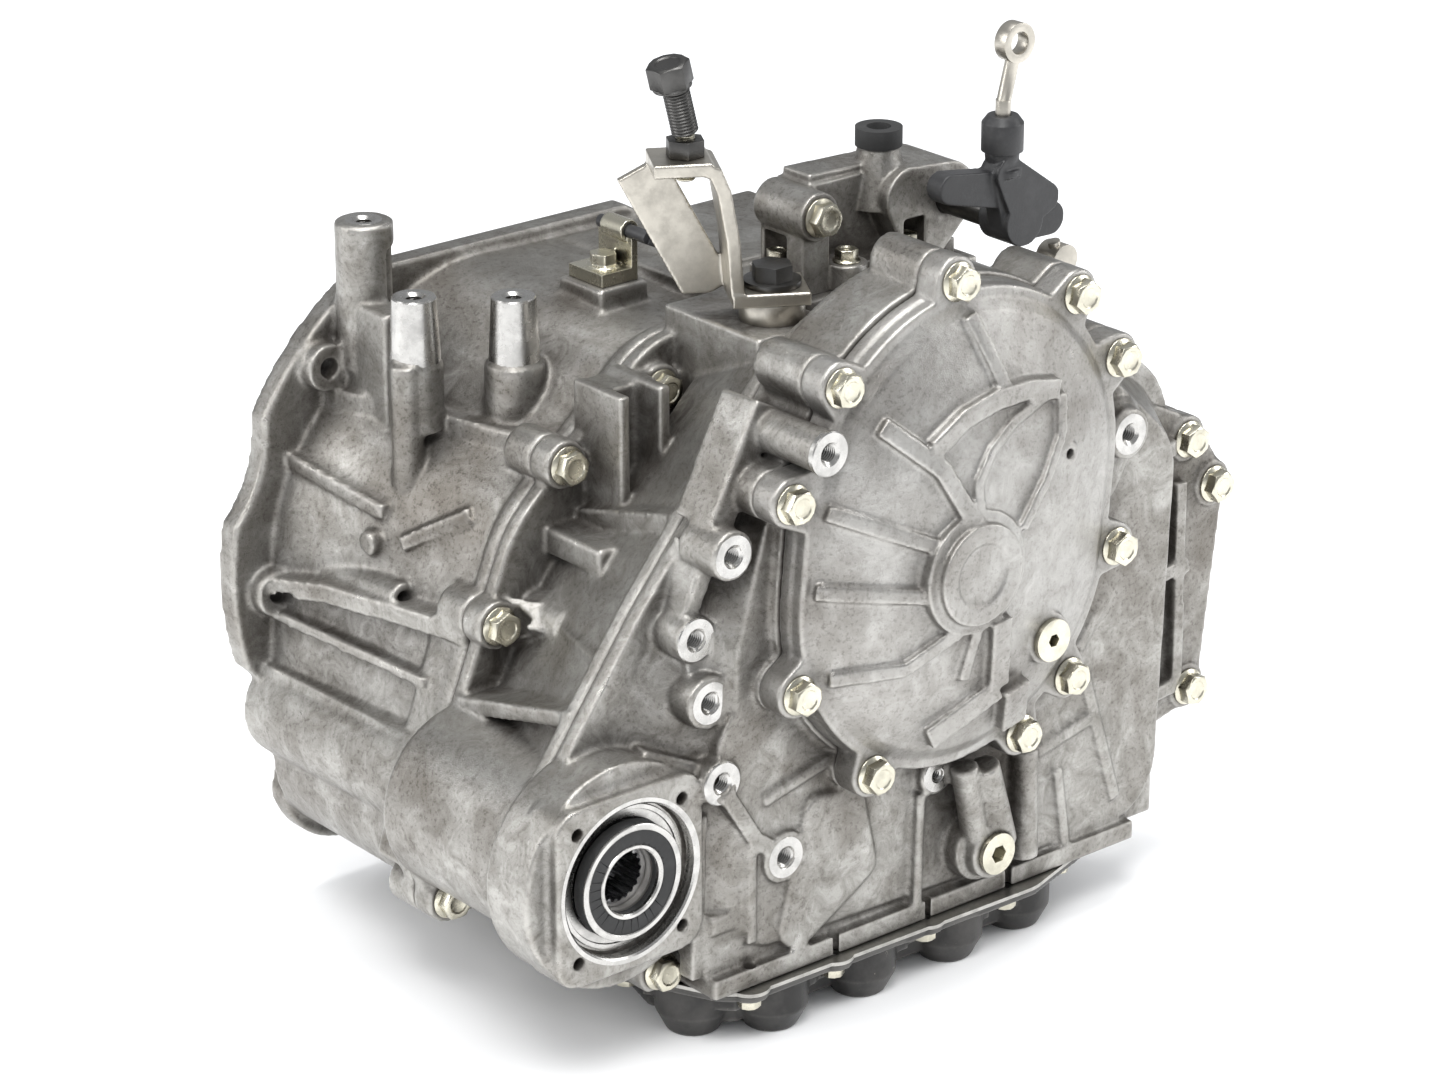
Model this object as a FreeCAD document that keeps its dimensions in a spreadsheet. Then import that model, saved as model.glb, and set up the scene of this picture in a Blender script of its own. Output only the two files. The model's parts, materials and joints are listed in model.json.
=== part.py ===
import FreeCAD, Part
import math
import os
import re

# Transverse manual transmission. Shafts lie along Y, the engine bolts on at Y = 0 and the gearbox
# runs towards -Y. The origin is the input shaft's axis in the engine face, +Z is up.

SIZES = {
    # planes, as distances from the engine face
    "flange_thick": 14, "bell_wall": 110, "bell_wall_back": 126, "bell_split": 160, "case_split": 260,
    "end_wall": 286, "cover_split": 304, "cover_rim": 320, "hub_face": 350,
    # walls, joints and fasteners
    "wall": 7, "joint_thick": 9, "bolt_radius": 5, "bolt_hole": 5.3, "head_radius": 7.9, "head_height": 6.5,
    "washer_radius": 10.4, "washer_thick": 1.8, "ear_radius": 13, "tapped_radius": 5.1,
    "small_bolt_radius": 3, "small_head_radius": 5.4, "small_washer_radius": 7.4, "small_head_height": 5,
    # bell housing
    "flange_radius": 180, "flange_top": 157, "clutch_mouth": 140, "clutch_end": 112,
    "bell_bolt_circle": 165, "side_bolt_circle": 158, "bell_hole_radius": 5.5, "post_radius": 15.5, "post_top": 190,
    "low_post_top": 164,
    # gear train
    "gear_module": 2, "shaft_angle": 27.86, "first_in": 16, "first_out": 45, "second_in": 22,
    "second_out": 39, "third_in": 28, "third_out": 33, "fourth_in": 31, "fourth_out": 30,
    "fifth_in": 35, "fifth_out": 26, "reverse_in": 14, "reverse_out": 38, "idler_teeth": 18,
    "final_pinion": 16, "transfer_teeth": 18, "ring_teeth": 48, "gear_width": 10,
    "final_width": 16, "backlash": 0.3, "running_gap": 0.05, "shaft_radius": 11,
    "hub_width": 12, "hub_radius": 24, "sleeve_radius": 33, "sleeve_groove": 29.5,
    "bearing_radius": 26, "bearing_width": 14, "rail_radius": 6,
    # differential
    "face_depth": 300, "recess_radius": 41, "ring_seat_radius": 31, "seal_bore": 23, "lip_radius": 17,
    "side_bore": 13, "carrier_radius": 36, "neck_radius": 21, "tunnel_radius": 24,
    # end cover
    "hub_x": 45, "hub_z": 54, "hub_radius_out": 27, "hub_recess": 17,
    # pan
    "pan_joint": -158, "pan_thick": 10, "pan_bottom": -188, "gasket_thick": 2,
    # top
    "deck": 159, "selector_top": 214, "bracket_plate": 7, "stud_radius": 5, "stud_sleeve": 7,
    "rod_radius": 4, "eye_radius": 6,
}

doc = FreeCAD.newDocument("transmission")
sheet = doc.addObject("Spreadsheet::Sheet", "sizes")
for row, (alias, number) in enumerate(SIZES.items(), start=1):
    sheet.set("A%d" % row, alias)
    sheet.set("B%d" % row, str(number))
    sheet.setAlias("B%d" % row, alias)
doc.recompute()

NODES = []
V = FreeCAD.Vector


def size(alias):
    return float(sheet.get(alias))


def bind(item, **sizes):
    """Bind properties to expressions over the sheet's cells."""
    for name, text in sizes.items():
        words = re.sub(r"[a-z][a-z_]*", lambda word: "sizes." + word.group(0), str(text))
        item.setExpression(name, words)


def turn_to(direction):
    return FreeCAD.Rotation(V(0, 0, 1), V(*direction))


def beyond(ahead, behind):
    """Everything outside two depths, to trim what stands past a joint."""
    reach = 400
    return [block((-reach, -ahead, -reach), (reach, reach, reach)),
            block((-reach, -reach - behind, -reach), (reach, -behind, reach))]


def rod(radius, start, end):
    item = doc.addObject("Part::Cylinder", "rod")
    bind(item, Radius=radius)
    run = V(*end) - V(*start)
    item.Height = run.Length
    item.Placement = FreeCAD.Placement(V(*start), turn_to(run))
    return item


def taper(first, second, start, end):
    item = doc.addObject("Part::Cone", "taper")
    bind(item, Radius1=first, Radius2=second)
    run = V(*end) - V(*start)
    item.Height = run.Length
    item.Placement = FreeCAD.Placement(V(*start), turn_to(run))
    return item


def ball(radius, centre):
    item = doc.addObject("Part::Sphere", "ball")
    item.Radius = radius
    item.Placement.Base = V(*centre)
    return item


def block(low, high):
    item = doc.addObject("Part::Box", "block")
    item.Length, item.Width, item.Height = [b - a for a, b in zip(low, high)]
    item.Placement.Base = V(*low)
    return item


def bar(start, end, width, depth, out):
    """A straight rib: start to end is the middle of its outer face, which faces out."""
    run = V(*end) - V(*start)
    spin = FreeCAD.Rotation(V(0, 0, 0), V(*out), run, "ZYX")
    item = doc.addObject("Part::Box", "rib")
    bind(item, Length=width, Width=depth)
    item.Height = run.Length
    item.Placement = FreeCAD.Placement(V(*start) - spin.multVec(V(width / 2, depth, 0)), spin)
    return item


def bars(spots, width, depth, out):
    return [bar(start, end, width, depth, out) for start, end in zip(spots, spots[1:])]


def hexagon(across, start, end, turn=0):
    item = doc.addObject("Part::Prism", "hexagon")
    item.Polygon = 6
    bind(item, Circumradius="(%s) / 0.866" % across)
    run = V(*end) - V(*start)
    item.Height = run.Length
    spin = turn_to(run).multiply(FreeCAD.Rotation(V(0, 0, 1), turn))
    item.Placement = FreeCAD.Placement(V(*start), spin)
    return item


def belt(circles, depth, grow=0):
    """A sketch across the shafts: the line of a belt round circles (x, z, radius), anticlockwise."""
    sketch = doc.addObject("Sketcher::SketchObject", "outline")
    sketch.Placement = FreeCAD.Placement(V(0, -depth, 0), FreeCAD.Rotation(V(1, 0, 0), 90))
    rings = [(x, z, r + grow) for x, z, r in circles]
    normals = []
    for (ax, az, ar), (bx, bz, br) in zip(rings, rings[1:] + rings[:1]):
        gap = math.hypot(bx - ax, bz - az)
        along = ((bx - ax) / gap, (bz - az) / gap)
        lean = (ar - br) / gap
        out = math.sqrt(1 - lean * lean)
        normals.append((along[0] * lean + along[1] * out, along[1] * lean - along[0] * out))
    for index, (x, z, r) in enumerate(rings):
        before = normals[index - 1]
        after = normals[index]
        first = math.atan2(before[1], before[0])
        last = math.atan2(after[1], after[0])
        if last < first:
            last += 2 * math.pi
        circle = Part.Circle(V(x, z, 0), V(0, 0, 1), r)
        sketch.addGeometry(Part.ArcOfCircle(circle, first, last), False)
        nx, nz, nr = rings[(index + 1) % len(rings)]
        start = V(x + r * after[0], z + r * after[1], 0)
        sketch.addGeometry(Part.LineSegment(start, V(nx + nr * after[0], nz + nr * after[1], 0)), False)
    return sketch


def slab(circles, start, end, grow=0):
    """A belt outline carried from one depth to another."""
    item = doc.addObject("Part::Extrusion", "slab")
    item.Base = belt(circles, start, grow)
    item.DirMode = "Custom"
    item.Dir = V(0, -1, 0)
    item.LengthFwd = end - start
    item.Solid = True
    return item


def loft(first, second, start, end, grow=0, grow_end=None):
    """A shell between two belt outlines that have as many circles each."""
    item = doc.addObject("Part::Loft", "loft")
    last = grow if grow_end is None else grow_end
    item.Sections = [belt(first, start, grow), belt(second, end, last)]
    item.Solid = True
    item.Ruled = True
    return item


def fuse(items):
    if len(items) == 1:
        return items[0]
    item = doc.addObject("Part::MultiFuse", "fused")
    item.Shapes = items
    return item


def less(item, hollows):
    cut = doc.addObject("Part::Cut", "cut")
    cut.Base = item
    cut.Tool = fuse(list(hollows))
    return cut


def piece(label, solids, hollows=(), inner=(), sockets=()):
    """A sub-part: the solids less the hollows, then what stands inside them less its own sockets."""
    item = fuse(list(solids))
    if hollows:
        item = less(item, hollows)
    if inner:
        item = fuse([item] + list(inner))
    if sockets:
        item = less(item, sockets)
    item.Label = label
    NODES.append(item)
    return item


def group(label, items):
    """Several loose solids that share a node."""
    item = doc.addObject("Part::Compound", "group")
    item.Links = list(items)
    item.Label = label
    NODES.append(item)
    return item


def shaped(label, shape):
    item = doc.addObject("Part::Feature", label)
    item.Shape = shape
    item.Label = label
    NODES.append(item)
    return item


# ---------------------------------------------------------------- axes and outlines
LINE = math.radians(180 + size("shaft_angle"))
MODULE = size("gear_module")


def along_line(distance):
    return (distance * math.cos(LINE), distance * math.sin(LINE))


INPUT = (0.0, 0.0)
OUTPUT = along_line(MODULE * (size("first_in") + size("first_out")) / 2)
REACH = math.hypot(*OUTPUT)
TRANSFER = along_line(REACH + MODULE * (size("final_pinion") + size("transfer_teeth")) / 2)
DIFF = along_line(math.hypot(*TRANSFER) + MODULE * (size("transfer_teeth") + size("ring_teeth")) / 2)
HUB = (size("hub_x"), size("hub_z"))
RAIL = (28.0, 52.0)

BELL_SPLIT = size("bell_split")
CASE_SPLIT = size("case_split")
COVER_SPLIT = size("cover_split")
COVER_RIM = size("cover_rim")
WALL = size("wall")
JOINT = size("joint_thick")

# Outlines, anticlockwise from the right: (x, z, radius).
FLANGE = [(100, -118, 44), (0, 0, 180), (-112, -122, 42)]
BELL_FRONT = [(112, 100, 48), (-20, 60, 92), (-30, 0, 128), (-110, -104, 50), (112, -106, 50)]
BELL_BACK = [(146, 96, 48), (-2, 96, 44), (-52, 22, 66), (-140, -104, 32), (150, -112, 36)]
CASE_FRONT = [(132, 98, 46), (20, 80, 44), (-50, 0, 52), (-128, -92, 30), (140, -108, 34)]
CASE_BACK = [(205, 60, 46), (58, 66, 112), (-90, 34, 20), (-140, -78, 46), (205, -110, 36)]
MAIN_BACK = [(190, 50, 40), (60, 68, 118), (-46, 24, 28), (-46, -110, 30), (190, -112, 34)]
COVER_LINE = [(56, 44, 106), (60, 88, 106)]

RIGHT_FLANGE = [(287, 21, 12), (266, 52, 12), (190, 76, 22), (200, -96, 30), (273, -96, 12)]

SPLIT_BOLTS = [(-20, 120), (-82, 93), (-127, 17), (-162, -126), (-104, -150), (150, 143), (204, 64),
               (204, -70)]
CASE_BOLTS = [(266, 52), (287, 21), (273, -96), (-104, -147)]
COVER_BOLTS = [(51, 200), (135, 175), (166, 134), (168, 29), (136, -36), (102, -59), (-1, -52), (-51, 6),
               (-56, 109), (-25, 162)]


def ring_of(centre, radius, angles):
    """Points on a circle, by angles in degrees from +X towards +Z."""
    spots = []
    for angle in angles:
        turned = math.radians(angle)
        spots.append((centre[0] + radius * math.cos(turned), centre[1] + radius * math.sin(turned)))
    return spots


BELL_HOLES = ring_of(INPUT, size("bell_bolt_circle"), [47, 137, 227, 317])
BELL_HOLES += ring_of(INPUT, size("side_bolt_circle"), [2, 182])


def edge(circles, level, side):
    """How far left (side -1) or right (1) a belt outline reaches at a height."""
    spots = []
    for x, z, r in circles:
        spots += [(x + r * math.cos(turn), z + r * math.sin(turn))
                  for turn in [math.radians(5 * step) for step in range(72)]]
    above = [spot for spot in spots if spot[1] >= level]
    below = [spot for spot in spots if spot[1] < level]
    reach = []
    for ax, az in above:
        for bx, bz in below:
            reach.append(ax + (bx - ax) * (az - level) / (az - bz))
    return side * max(side * x for x in reach)


def skin(wall, depth, level, proud):
    """A point on the left side of a lofted wall, or proud of it."""
    first, second, start, end = wall
    share = (depth - start) / (end - start)
    near = edge(first, level, -1)
    x = near + (edge(second, level, -1) - near) * share
    return (x - proud, -depth, level)


def ridge(wall, run, width, proud):
    """A rib along the left side of a lofted wall, through points (depth, height)."""
    spots = [skin(wall, depth, level, proud) for depth, level in run]
    return bars(spots, width, proud + 8, (-1, 0, 0))


def at(spot, depth):
    """A point on an axis (x, z), at a distance from the engine face."""
    return (spot[0], -depth, spot[1])


def disc(radius, spot, start, end):
    return rod(radius, at(spot, start), at(spot, end))


# ---------------------------------------------------------------- castings
def bell_housing():
    thick = size("flange_thick")
    back = size("bell_wall_back")
    front_wall = size("bell_wall")
    solids = [slab(FLANGE, 0, thick)]
    hollows = [block((-250, -thick, size("flange_top")), (250, 1, 250))] + beyond(0, BELL_SPLIT)
    solids.append(loft(BELL_FRONT, BELL_BACK, thick / 2, BELL_SPLIT))
    solids.append(slab(BELL_BACK, BELL_SPLIT - JOINT, BELL_SPLIT, 5))
    hollows.append(taper("clutch_mouth", "clutch_end", (0, 1, 0), (0, -front_wall, 0)))
    hollows.append(slab(BELL_BACK, back, BELL_SPLIT + 1, -WALL))
    inner = [disc("tunnel_radius + wall", DIFF, thick / 2, BELL_SPLIT)]
    sockets = [disc("tunnel_radius", DIFF, -1, BELL_SPLIT + 1)]
    for spot in ring_of(INPUT, 241, [22, 160, 205, 338]):
        hollows.append(disc(70, spot, -1, thick + 1))
    for spot in BELL_HOLES:
        inner.append(disc("ear_radius", spot, 0, 24))
        sockets.append(disc("bell_hole_radius", spot, -1, 40))
    for spot in SPLIT_BOLTS:
        inner.append(disc("ear_radius", spot, BELL_SPLIT - 22, BELL_SPLIT))
        sockets.append(disc("bolt_hole", spot, BELL_SPLIT - 20, BELL_SPLIT + 1))
    sockets.append(disc("bearing_radius", INPUT, front_wall - 1, back + 1))
    sockets.append(disc("bearing_radius", OUTPUT, front_wall + 2, back + 1))
    sockets.append(disc(5.45, IDLER, 117, back + 1))
    sockets.append(disc(6.05, RAIL, 117, back + 1))
    solids += bell_ribs()
    inner += bell_posts()
    sockets += bell_sockets()
    piece("bell_housing", solids, hollows, inner, sockets)


POST_ONE = (-97.0, -25.0)
POST_TWO = (-106.0, -80.0)
POST_THREE = (-66.0, -112.0)


def bell_posts():
    """Three upright posts on the upper left flank, the column under the second, and side bosses."""
    top = size("post_top")
    lower = size("low_post_top")
    solids = [rod("post_radius", (POST_ONE[0], POST_ONE[1], 110), (POST_ONE[0], POST_ONE[1], top))]
    solids.append(block((-110, -60, 88), (-84, -13, 148)))
    for x, y in (POST_TWO, POST_THREE):
        solids.append(taper(13.5, 11.5, (x, y, lower - 38), (x, y, lower)))
    solids.append(rod(14.6, (*POST_TWO, 92), (*POST_TWO, lower - 36)))
    solids.append(rod(16, (*POST_THREE, 84), (*POST_THREE, lower - 36)))
    solids.append(rod(8.5, (-115, -84, 56), (-115, -84, lower - 34)))
    solids.append(rod(6.5, (-141, -80, 36), (-100, -80, 36)))
    solids.append(rod(8.5, (-139, -44, 9), (-137, -108, 13)))
    return solids


def bell_sockets():
    """Threaded holes down the posts, the notch in the first and the hole in the side tube."""
    top = size("post_top")
    lower = size("low_post_top")
    x, y = POST_ONE
    holes = [rod("tapped_radius", (x, y, top - 24), (x, y, top + 1))]
    holes.append(block((x + 4, y - 17, top - 70), (x + 18, y - 5, top - 14)))
    for x, y in (POST_TWO, POST_THREE):
        holes.append(rod("tapped_radius", (x, y, lower - 22), (x, y, lower + 1)))
    holes.append(rod(4.2, (-137, -109, 13), (-138, -80, 11)))
    return holes


def bell_ribs():
    """Ridges along the left flank, the thick band beside the joint, and the clip's pad on the deck."""
    wall = (BELL_FRONT, BELL_BACK, size("flange_thick") / 2, BELL_SPLIT)
    solids = ridge(wall, [(14, 64), (84, 52)], 8, 5)
    solids += ridge(wall, [(14, 95), (135, 94)], 10, 6)
    solids += ridge(wall, [(14, -2), (60, 6), (158, 9)], 11, 9)
    for low, drop in ((-17, 5), (-50, 1), (-74, -2)):
        solids += ridge(wall, [(14, low), (138, low - drop)], 6, 5)
    solids += ridge(wall, [(100, 40), (135, 62)], 8, 4)
    band = [(edge(BELL_BACK, level, -1) - 5, 4 - BELL_SPLIT + 10, level) for level in (8, -40, -112)]
    solids += bars(band, 32, 22, (-1, 0, 0))
    solids.append(block((-12, -116, 130), (20, -80, size("deck") - 4)))
    solids.append(block((40, -150, 130), (170, -20, 151)))
    solids.append(block((60, -120, 130), (130, -60, 154)))
    return solids


def intermediate_case():
    start, end = BELL_SPLIT, CASE_SPLIT
    deck = size("deck")
    solids = [loft(CASE_FRONT, CASE_BACK, start, end)]
    solids.append(slab(BELL_BACK, start, start + JOINT, 5))
    solids.append(slab(CASE_BACK, end - JOINT, end, 5))
    solids.append(disc("carrier_radius + 14", DIFF, start, end))
    solids += case_ribs()
    solids.append(block((-92, -end, size("pan_joint")), (200, -start - 4, -112)))
    hollows = [loft(CASE_FRONT, CASE_BACK, start - 1, end + 1, -WALL)] + beyond(start, end)
    hollows.append(disc("carrier_radius + 6", DIFF, start - 1, end + 1))
    hollows.append(block((-66, -end - 1, size("pan_joint") - 1), (172, -start - 16, -104)))
    hollows.append(block((46, -212, deck), (180, -150, 260)))
    hollows.append(block((160, -266, 136), (200, -238, 260)))
    inner = []
    sockets = []
    for spot in SPLIT_BOLTS:
        inner.append(disc("ear_radius", spot, start, start + 15))
        sockets.append(disc("bolt_hole", spot, start - 1, start + 16))
        sockets.append(disc("ear_radius + 1", spot, start + 15, start + 26))
    for spot in CASE_BOLTS:
        inner.append(disc("ear_radius", spot, end - 22, end))
        sockets.append(disc("bolt_hole", spot, end - 20, end + 1))
    # the differential's inner bearing seat, and the web that holds the transfer shaft
    seat = 208
    inner.append(disc("carrier_radius + 8", DIFF, seat - 3, seat + 13.5))
    sockets.append(disc("bearing_radius + 5", DIFF, seat, seat + 15))
    sockets.append(disc("tunnel_radius - 2", DIFF, seat - 5, seat + 15))
    inner.append(disc(15, TRANSFER, 246, 259))
    inner.append(block((TRANSFER[0] - 9, -259, -150), (TRANSFER[0] + 7, -246, TRANSFER[1])))
    sockets.append(disc(9.05, TRANSFER, 245, 260.5))
    inner.append(disc(13.5, SIDE_BOSS, 168, 200))
    sockets.append(disc("tapped_radius", SIDE_BOSS, 178, 201))
    sockets.append(rod(5.3, (*BRACKET_FOOT, deck - 9), (*BRACKET_FOOT, deck + 1)))
    sockets.append(pan_clearance())
    sockets += pan_holes(lambda y: y >= -end - 6)
    piece("intermediate_case", solids, hollows, inner, sockets)


SIDE_BOSS = (-98.0, 15.0)


def pan_clearance():
    """What lies below the pan joint, where the gasket and the pan's edge go."""
    floor = size("pan_joint")
    return block((-130, -330, floor - 30), (240, -162, floor))


def pan_holes(here):
    """Holes for the pan bolts whose place along Y passes the test."""
    floor = size("pan_joint")
    spots = [(x, y) for x, y in PAN_BOLTS if here(y)]
    return [rod("small_bolt_radius + 0.2", (x, y, floor - 1), (x, y, floor + 15)) for x, y in spots]


def case_ribs():
    """The pocket with its two tall fins, ridges across the flank, deck pads and the corner pillars."""
    deck = size("deck")
    wall = (CASE_FRONT, CASE_BACK, BELL_SPLIT, CASE_SPLIT)
    solids = [block((-66, -200, 60), (-60, -BELL_SPLIT, 132))]
    solids.append(block((-44, -204, 60), (-37, -BELL_SPLIT, 134)))
    solids.append(block((-64, -184, 54), (-20, -BELL_SPLIT, 131)))
    solids.append(block((-92, -214, 46), (-10, -BELL_SPLIT, 60)))
    solids += bars([(-124, -172, 25), (-104, -194, 20)], 16, 22, (-1, 0, 1))
    solids += bars([(-108, -198, 16), (-126, -250, 20)], 9, 26, (-1, 0, 0))
    solids += bars([(-148, -166, -24), (-146, -258, -2)], 9, 34, (-1, 0, 0))
    solids += ridge(wall, [(168, -118), (252, -126)], 8, 8)
    solids += ridge(wall, [(168, 60), (252, 84)], 9, 6)
    solids.append(block((48, -206, 100), (172, -BELL_SPLIT, deck)))
    solids.append(block((-6, -236, 100), (46, -BELL_SPLIT, deck)))
    solids.append(slab(RIGHT_FLANGE, CASE_SPLIT - 10, CASE_SPLIT))
    return solids


def main_gear_case():
    start, end = CASE_SPLIT, COVER_SPLIT
    inside = size("end_wall")
    floor = size("pan_joint")
    face = size("face_depth")
    solids = [loft(CASE_BACK, MAIN_BACK, start, face)]
    solids.append(slab(CASE_BACK, start, start + JOINT, 5))
    solids.append(slab(COVER_LINE, start + 4, end, 3))
    solids += main_ribs()
    solids.append(disc(60, DIFF, start, face - 8))
    solids.append(slab([(x, z, 13) for x, z in DIFF_HOLES], face - 24, face))
    solids.append(block((-92, -end, floor), (205, -start, floor + 11)))
    solids.append(block((-92, -end + 6, floor), (205, -start, -112)))
    hollows = [loft(CASE_BACK, MAIN_BACK, start - 1, inside, -WALL), beyond(start, end)[0]]
    hollows.append(slab(COVER_LINE, inside + 8, end + 1, -12))
    hollows.append(disc("recess_radius + 11", DIFF, start - 1, face - 21.5))
    hollows.append(disc(22, TRANSFER, start - 1, inside - 5.5))
    hollows.append(block((-66, -inside + 2, floor - 1), (172, -start + 1, -104)))
    inner = main_bosses()
    sockets = main_sockets()
    solids += [cover_ear(spot, end - 34, end) for spot in COVER_BOLTS]
    for spot in COVER_BOLTS:
        inner.append(disc("ear_radius", spot, end - 36, end))
        sockets.append(disc("bolt_hole", spot, end - 20, end + 1))
    for spot in CASE_BOLTS:
        inner.append(disc("ear_radius", spot, start, start + 15))
        sockets.append(disc("bolt_hole", spot, start - 1, start + 16))
        sockets.append(disc("ear_radius + 1", spot, start + 15, start + 26))
    # bearing seats, shaft ends and the shift rail's end
    for spot in (INPUT, OUTPUT):
        inner.append(disc("bearing_radius + 7", spot, inside - 7, face))
        sockets.append(disc("bearing_radius", spot, inside - 8, inside + 8.2))
        sockets.append(disc("shaft_radius + 2", spot, inside, face - 2.5))
    inner.append(disc(12, TRANSFER, inside - 6, inside + 8))
    sockets.append(disc(7.55, TRANSFER, inside - 7, inside + 6.5))
    inner.append(disc(11, RAIL, inside - 2, inside + 8))
    sockets.append(disc(6.05, RAIL, inside - 3, inside + 6.5))
    # differential: open recess, seal and bearing seat
    for spot in DIFF_HOLES:
        sockets.append(disc(3.4, spot, face - 18, face + 1))
    sockets.append(disc("recess_radius", DIFF, face - 9, face + 1))
    sockets.append(disc("ring_seat_radius", DIFF, face - 30, face))
    sockets.append(pan_clearance())
    sockets += pan_holes(lambda y: y < -start + 6)
    piece("main_gear_case", solids, hollows, inner, sockets)


def diff_holes():
    """The four tapped holes round the output, on a 66 by 70 rectangle, anticlockwise."""
    half_x = 33
    half_z = 35
    corners = [(half_x, half_z), (-half_x, half_z), (-half_x, -half_z), (half_x, -half_z)]
    return [(DIFF[0] + x, DIFF[1] + z) for x, z in corners]


DIFF_HOLES = diff_holes()

# Tapped bosses on the end face: (x, z), depth of the face, boss radius, depth and radius of the hole.
END_BOSSES = [((-79, 82), 303, 13, 22, 5.1), ((-44, 136), 334, 11, 22, 5.1), ((-92, 37), 290, 12, 22, 5.1),
              ((-88, 4), 296, 14, 22, 5.1), ((-86, -38), 303, 12, 10, 5.1), ((-45, -91), 304, 14, 22, 5.1),
              ((184, 85), 312, 14, 22, 5.1), ((57, -75), 306, 11, 14, 3.1)]
DRAIN_PLUG = (86, -123)
DRAIN_FACE = 320


def main_bosses():
    """Tapped bosses on the end face, the drain boss with its tubes and the right-hand flange."""
    solids = []
    for spot, face, radius, hole, _ in END_BOSSES:
        solids.append(disc(radius, spot, max(face - hole - 6, CASE_SPLIT + 2), face))
    solids.append(disc(15, DRAIN_PLUG, CASE_SPLIT + 20, DRAIN_FACE))
    solids.append(disc(19, DRAIN_PLUG, CASE_SPLIT + 20, DRAIN_FACE - 9))
    solids.append(rod(7.5, (68, -314, -70), (80, -312, -118)))
    solids.append(rod(8.5, (80, -316, -72), (97, -313, -122)))
    solids.append(rod(8, (120, -304, -78), (122, -304, -142)))
    solids.append(slab(RIGHT_FLANGE, CASE_SPLIT, CASE_SPLIT + 12))
    solids.append(slab([(176, 56, 9), (184, 85, 17), (164, 62, 9)], CASE_SPLIT + 12, 303.5))
    return solids


def main_sockets():
    holes = []
    for spot, face, _, hole, radius in END_BOSSES:
        holes.append(disc(radius, spot, face - hole, face + 1))
    holes.append(disc(8.1, DRAIN_PLUG, DRAIN_FACE - 14, DRAIN_FACE + 1))
    holes.append(disc(12.5, DRAIN_PLUG, DRAIN_FACE, DRAIN_FACE + 10))
    # windows through the right-hand flange, between its pillars
    for low, high in ((-74, -28), (-16, 24)):
        holes.append(block((214, -CASE_SPLIT - 14, low), (227, -CASE_SPLIT + 1, high)))
        holes.append(block((238, -CASE_SPLIT - 14, low - 6), (252, -CASE_SPLIT + 1, high - 8)))
    return holes


def main_ribs():
    """Bars that join the bosses on the end face, ribs and pads under the cover and the right pillars."""
    ahead = (0, -1, 0)
    left = (-1, 0, 0)
    solids = bars([(-46, -290, 150), (-78, -292, 92)], 15, 28, ahead)
    solids.append(rod(11, (-44, -268, 136), (-44, -312, 136)))
    solids += bars([(-82, -290, 78), (-94, -284, 40)], 10, 26, ahead)
    solids += bars([(-92, -284, 34), (-88, -288, 4)], 8, 24, ahead)
    solids += bars([(-124, -286, -20), (-86, -297, -36)], 10, 24, ahead)
    solids += bars([(-84, -304, -44), (-64, -304, -76), (-46, -304, -90)], 9, 22, ahead)
    solids += bars([(-66, -303, -74), (-66, -303, -134)], 6, 20, ahead)
    solids += bars([(-94, -297, -56), (-98, -297, -146)], 7, 20, ahead)
    solids += bars([(-58, -303, -57), (-4, -303, -44)], 6, 20, ahead)
    solids.append(slab([(8, -112, 10), (0, -76, 10), (-22, -74, 10), (-34, -132, 14)], 290, 303.5))
    solids += bars([(48, -305, -84), (46, -305, -150)], 6, 20, ahead)
    solids += bars([(166, -303, -50), (192, -303, -130)], 7, 30, ahead)
    solids += bars([(134, -302, -86), (176, -303, -76)], 7, 24, ahead)
    solids += bars([(162, -302, -34), (192, -300, 2)], 7, 24, ahead)
    solids += bars([(148, -303, -100), (156, -303, -150)], 6, 24, ahead)
    solids += bars([(232, -CASE_SPLIT - 22, 40), (232, -CASE_SPLIT - 22, -94)], 8, 20, ahead)
    solids += bars([(258, -CASE_SPLIT - 20, 30), (260, -CASE_SPLIT - 20, -90)], 8, 20, ahead)
    for z in (50, -22, -92):
        solids += bars([(196, -CASE_SPLIT - 26, z), (266, -CASE_SPLIT - 20, z + 2)], 9, 24, ahead)
    for low, high in ((-150, -128), (-96, -76)):
        solids.append(block((196, -296, low), (226, -266, high)))
    solids += bars([(-90, -262, -118), (-90, -300, -118)], 10, 22, left)
    return solids


# The dome's outside, as (how far inside the cover's outline, distance from the engine face).
DOME = [(4, 319), (12, 325), (40, 334), (70, 340), (95, 343)]


def dome(inset):
    """The cover's shallow dome, in lofted bands, inset by a wall for its inside."""
    bands = []
    for (first, low), (last, high) in zip(DOME, DOME[1:]):
        bands.append(loft(COVER_LINE, COVER_LINE, low - inset, high - inset, -first - inset, -last - inset))
    return bands


def cover_spine(spot):
    """The point nearest to a spot on the line between the two centres of the cover's outline."""
    (ax, az, _), (bx, bz, _) = COVER_LINE
    share = ((spot[0] - ax) * (bx - ax) + (spot[1] - az) * (bz - az)) / ((bx - ax) ** 2 + (bz - az) ** 2)
    share = min(1, max(0, share))
    return (ax + (bx - ax) * share, az + (bz - az) * share)


def cover_ear(spot, start, end):
    """A bolt's ear that runs a little way in over the cover's rim."""
    inside = cover_spine(spot)
    share = 16 / math.dist(spot, inside)
    root = (spot[0] + (inside[0] - spot[0]) * share, spot[1] + (inside[1] - spot[1]) * share)
    return slab([(*spot, size("ear_radius")), (*root, 17)], start, end)


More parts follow.
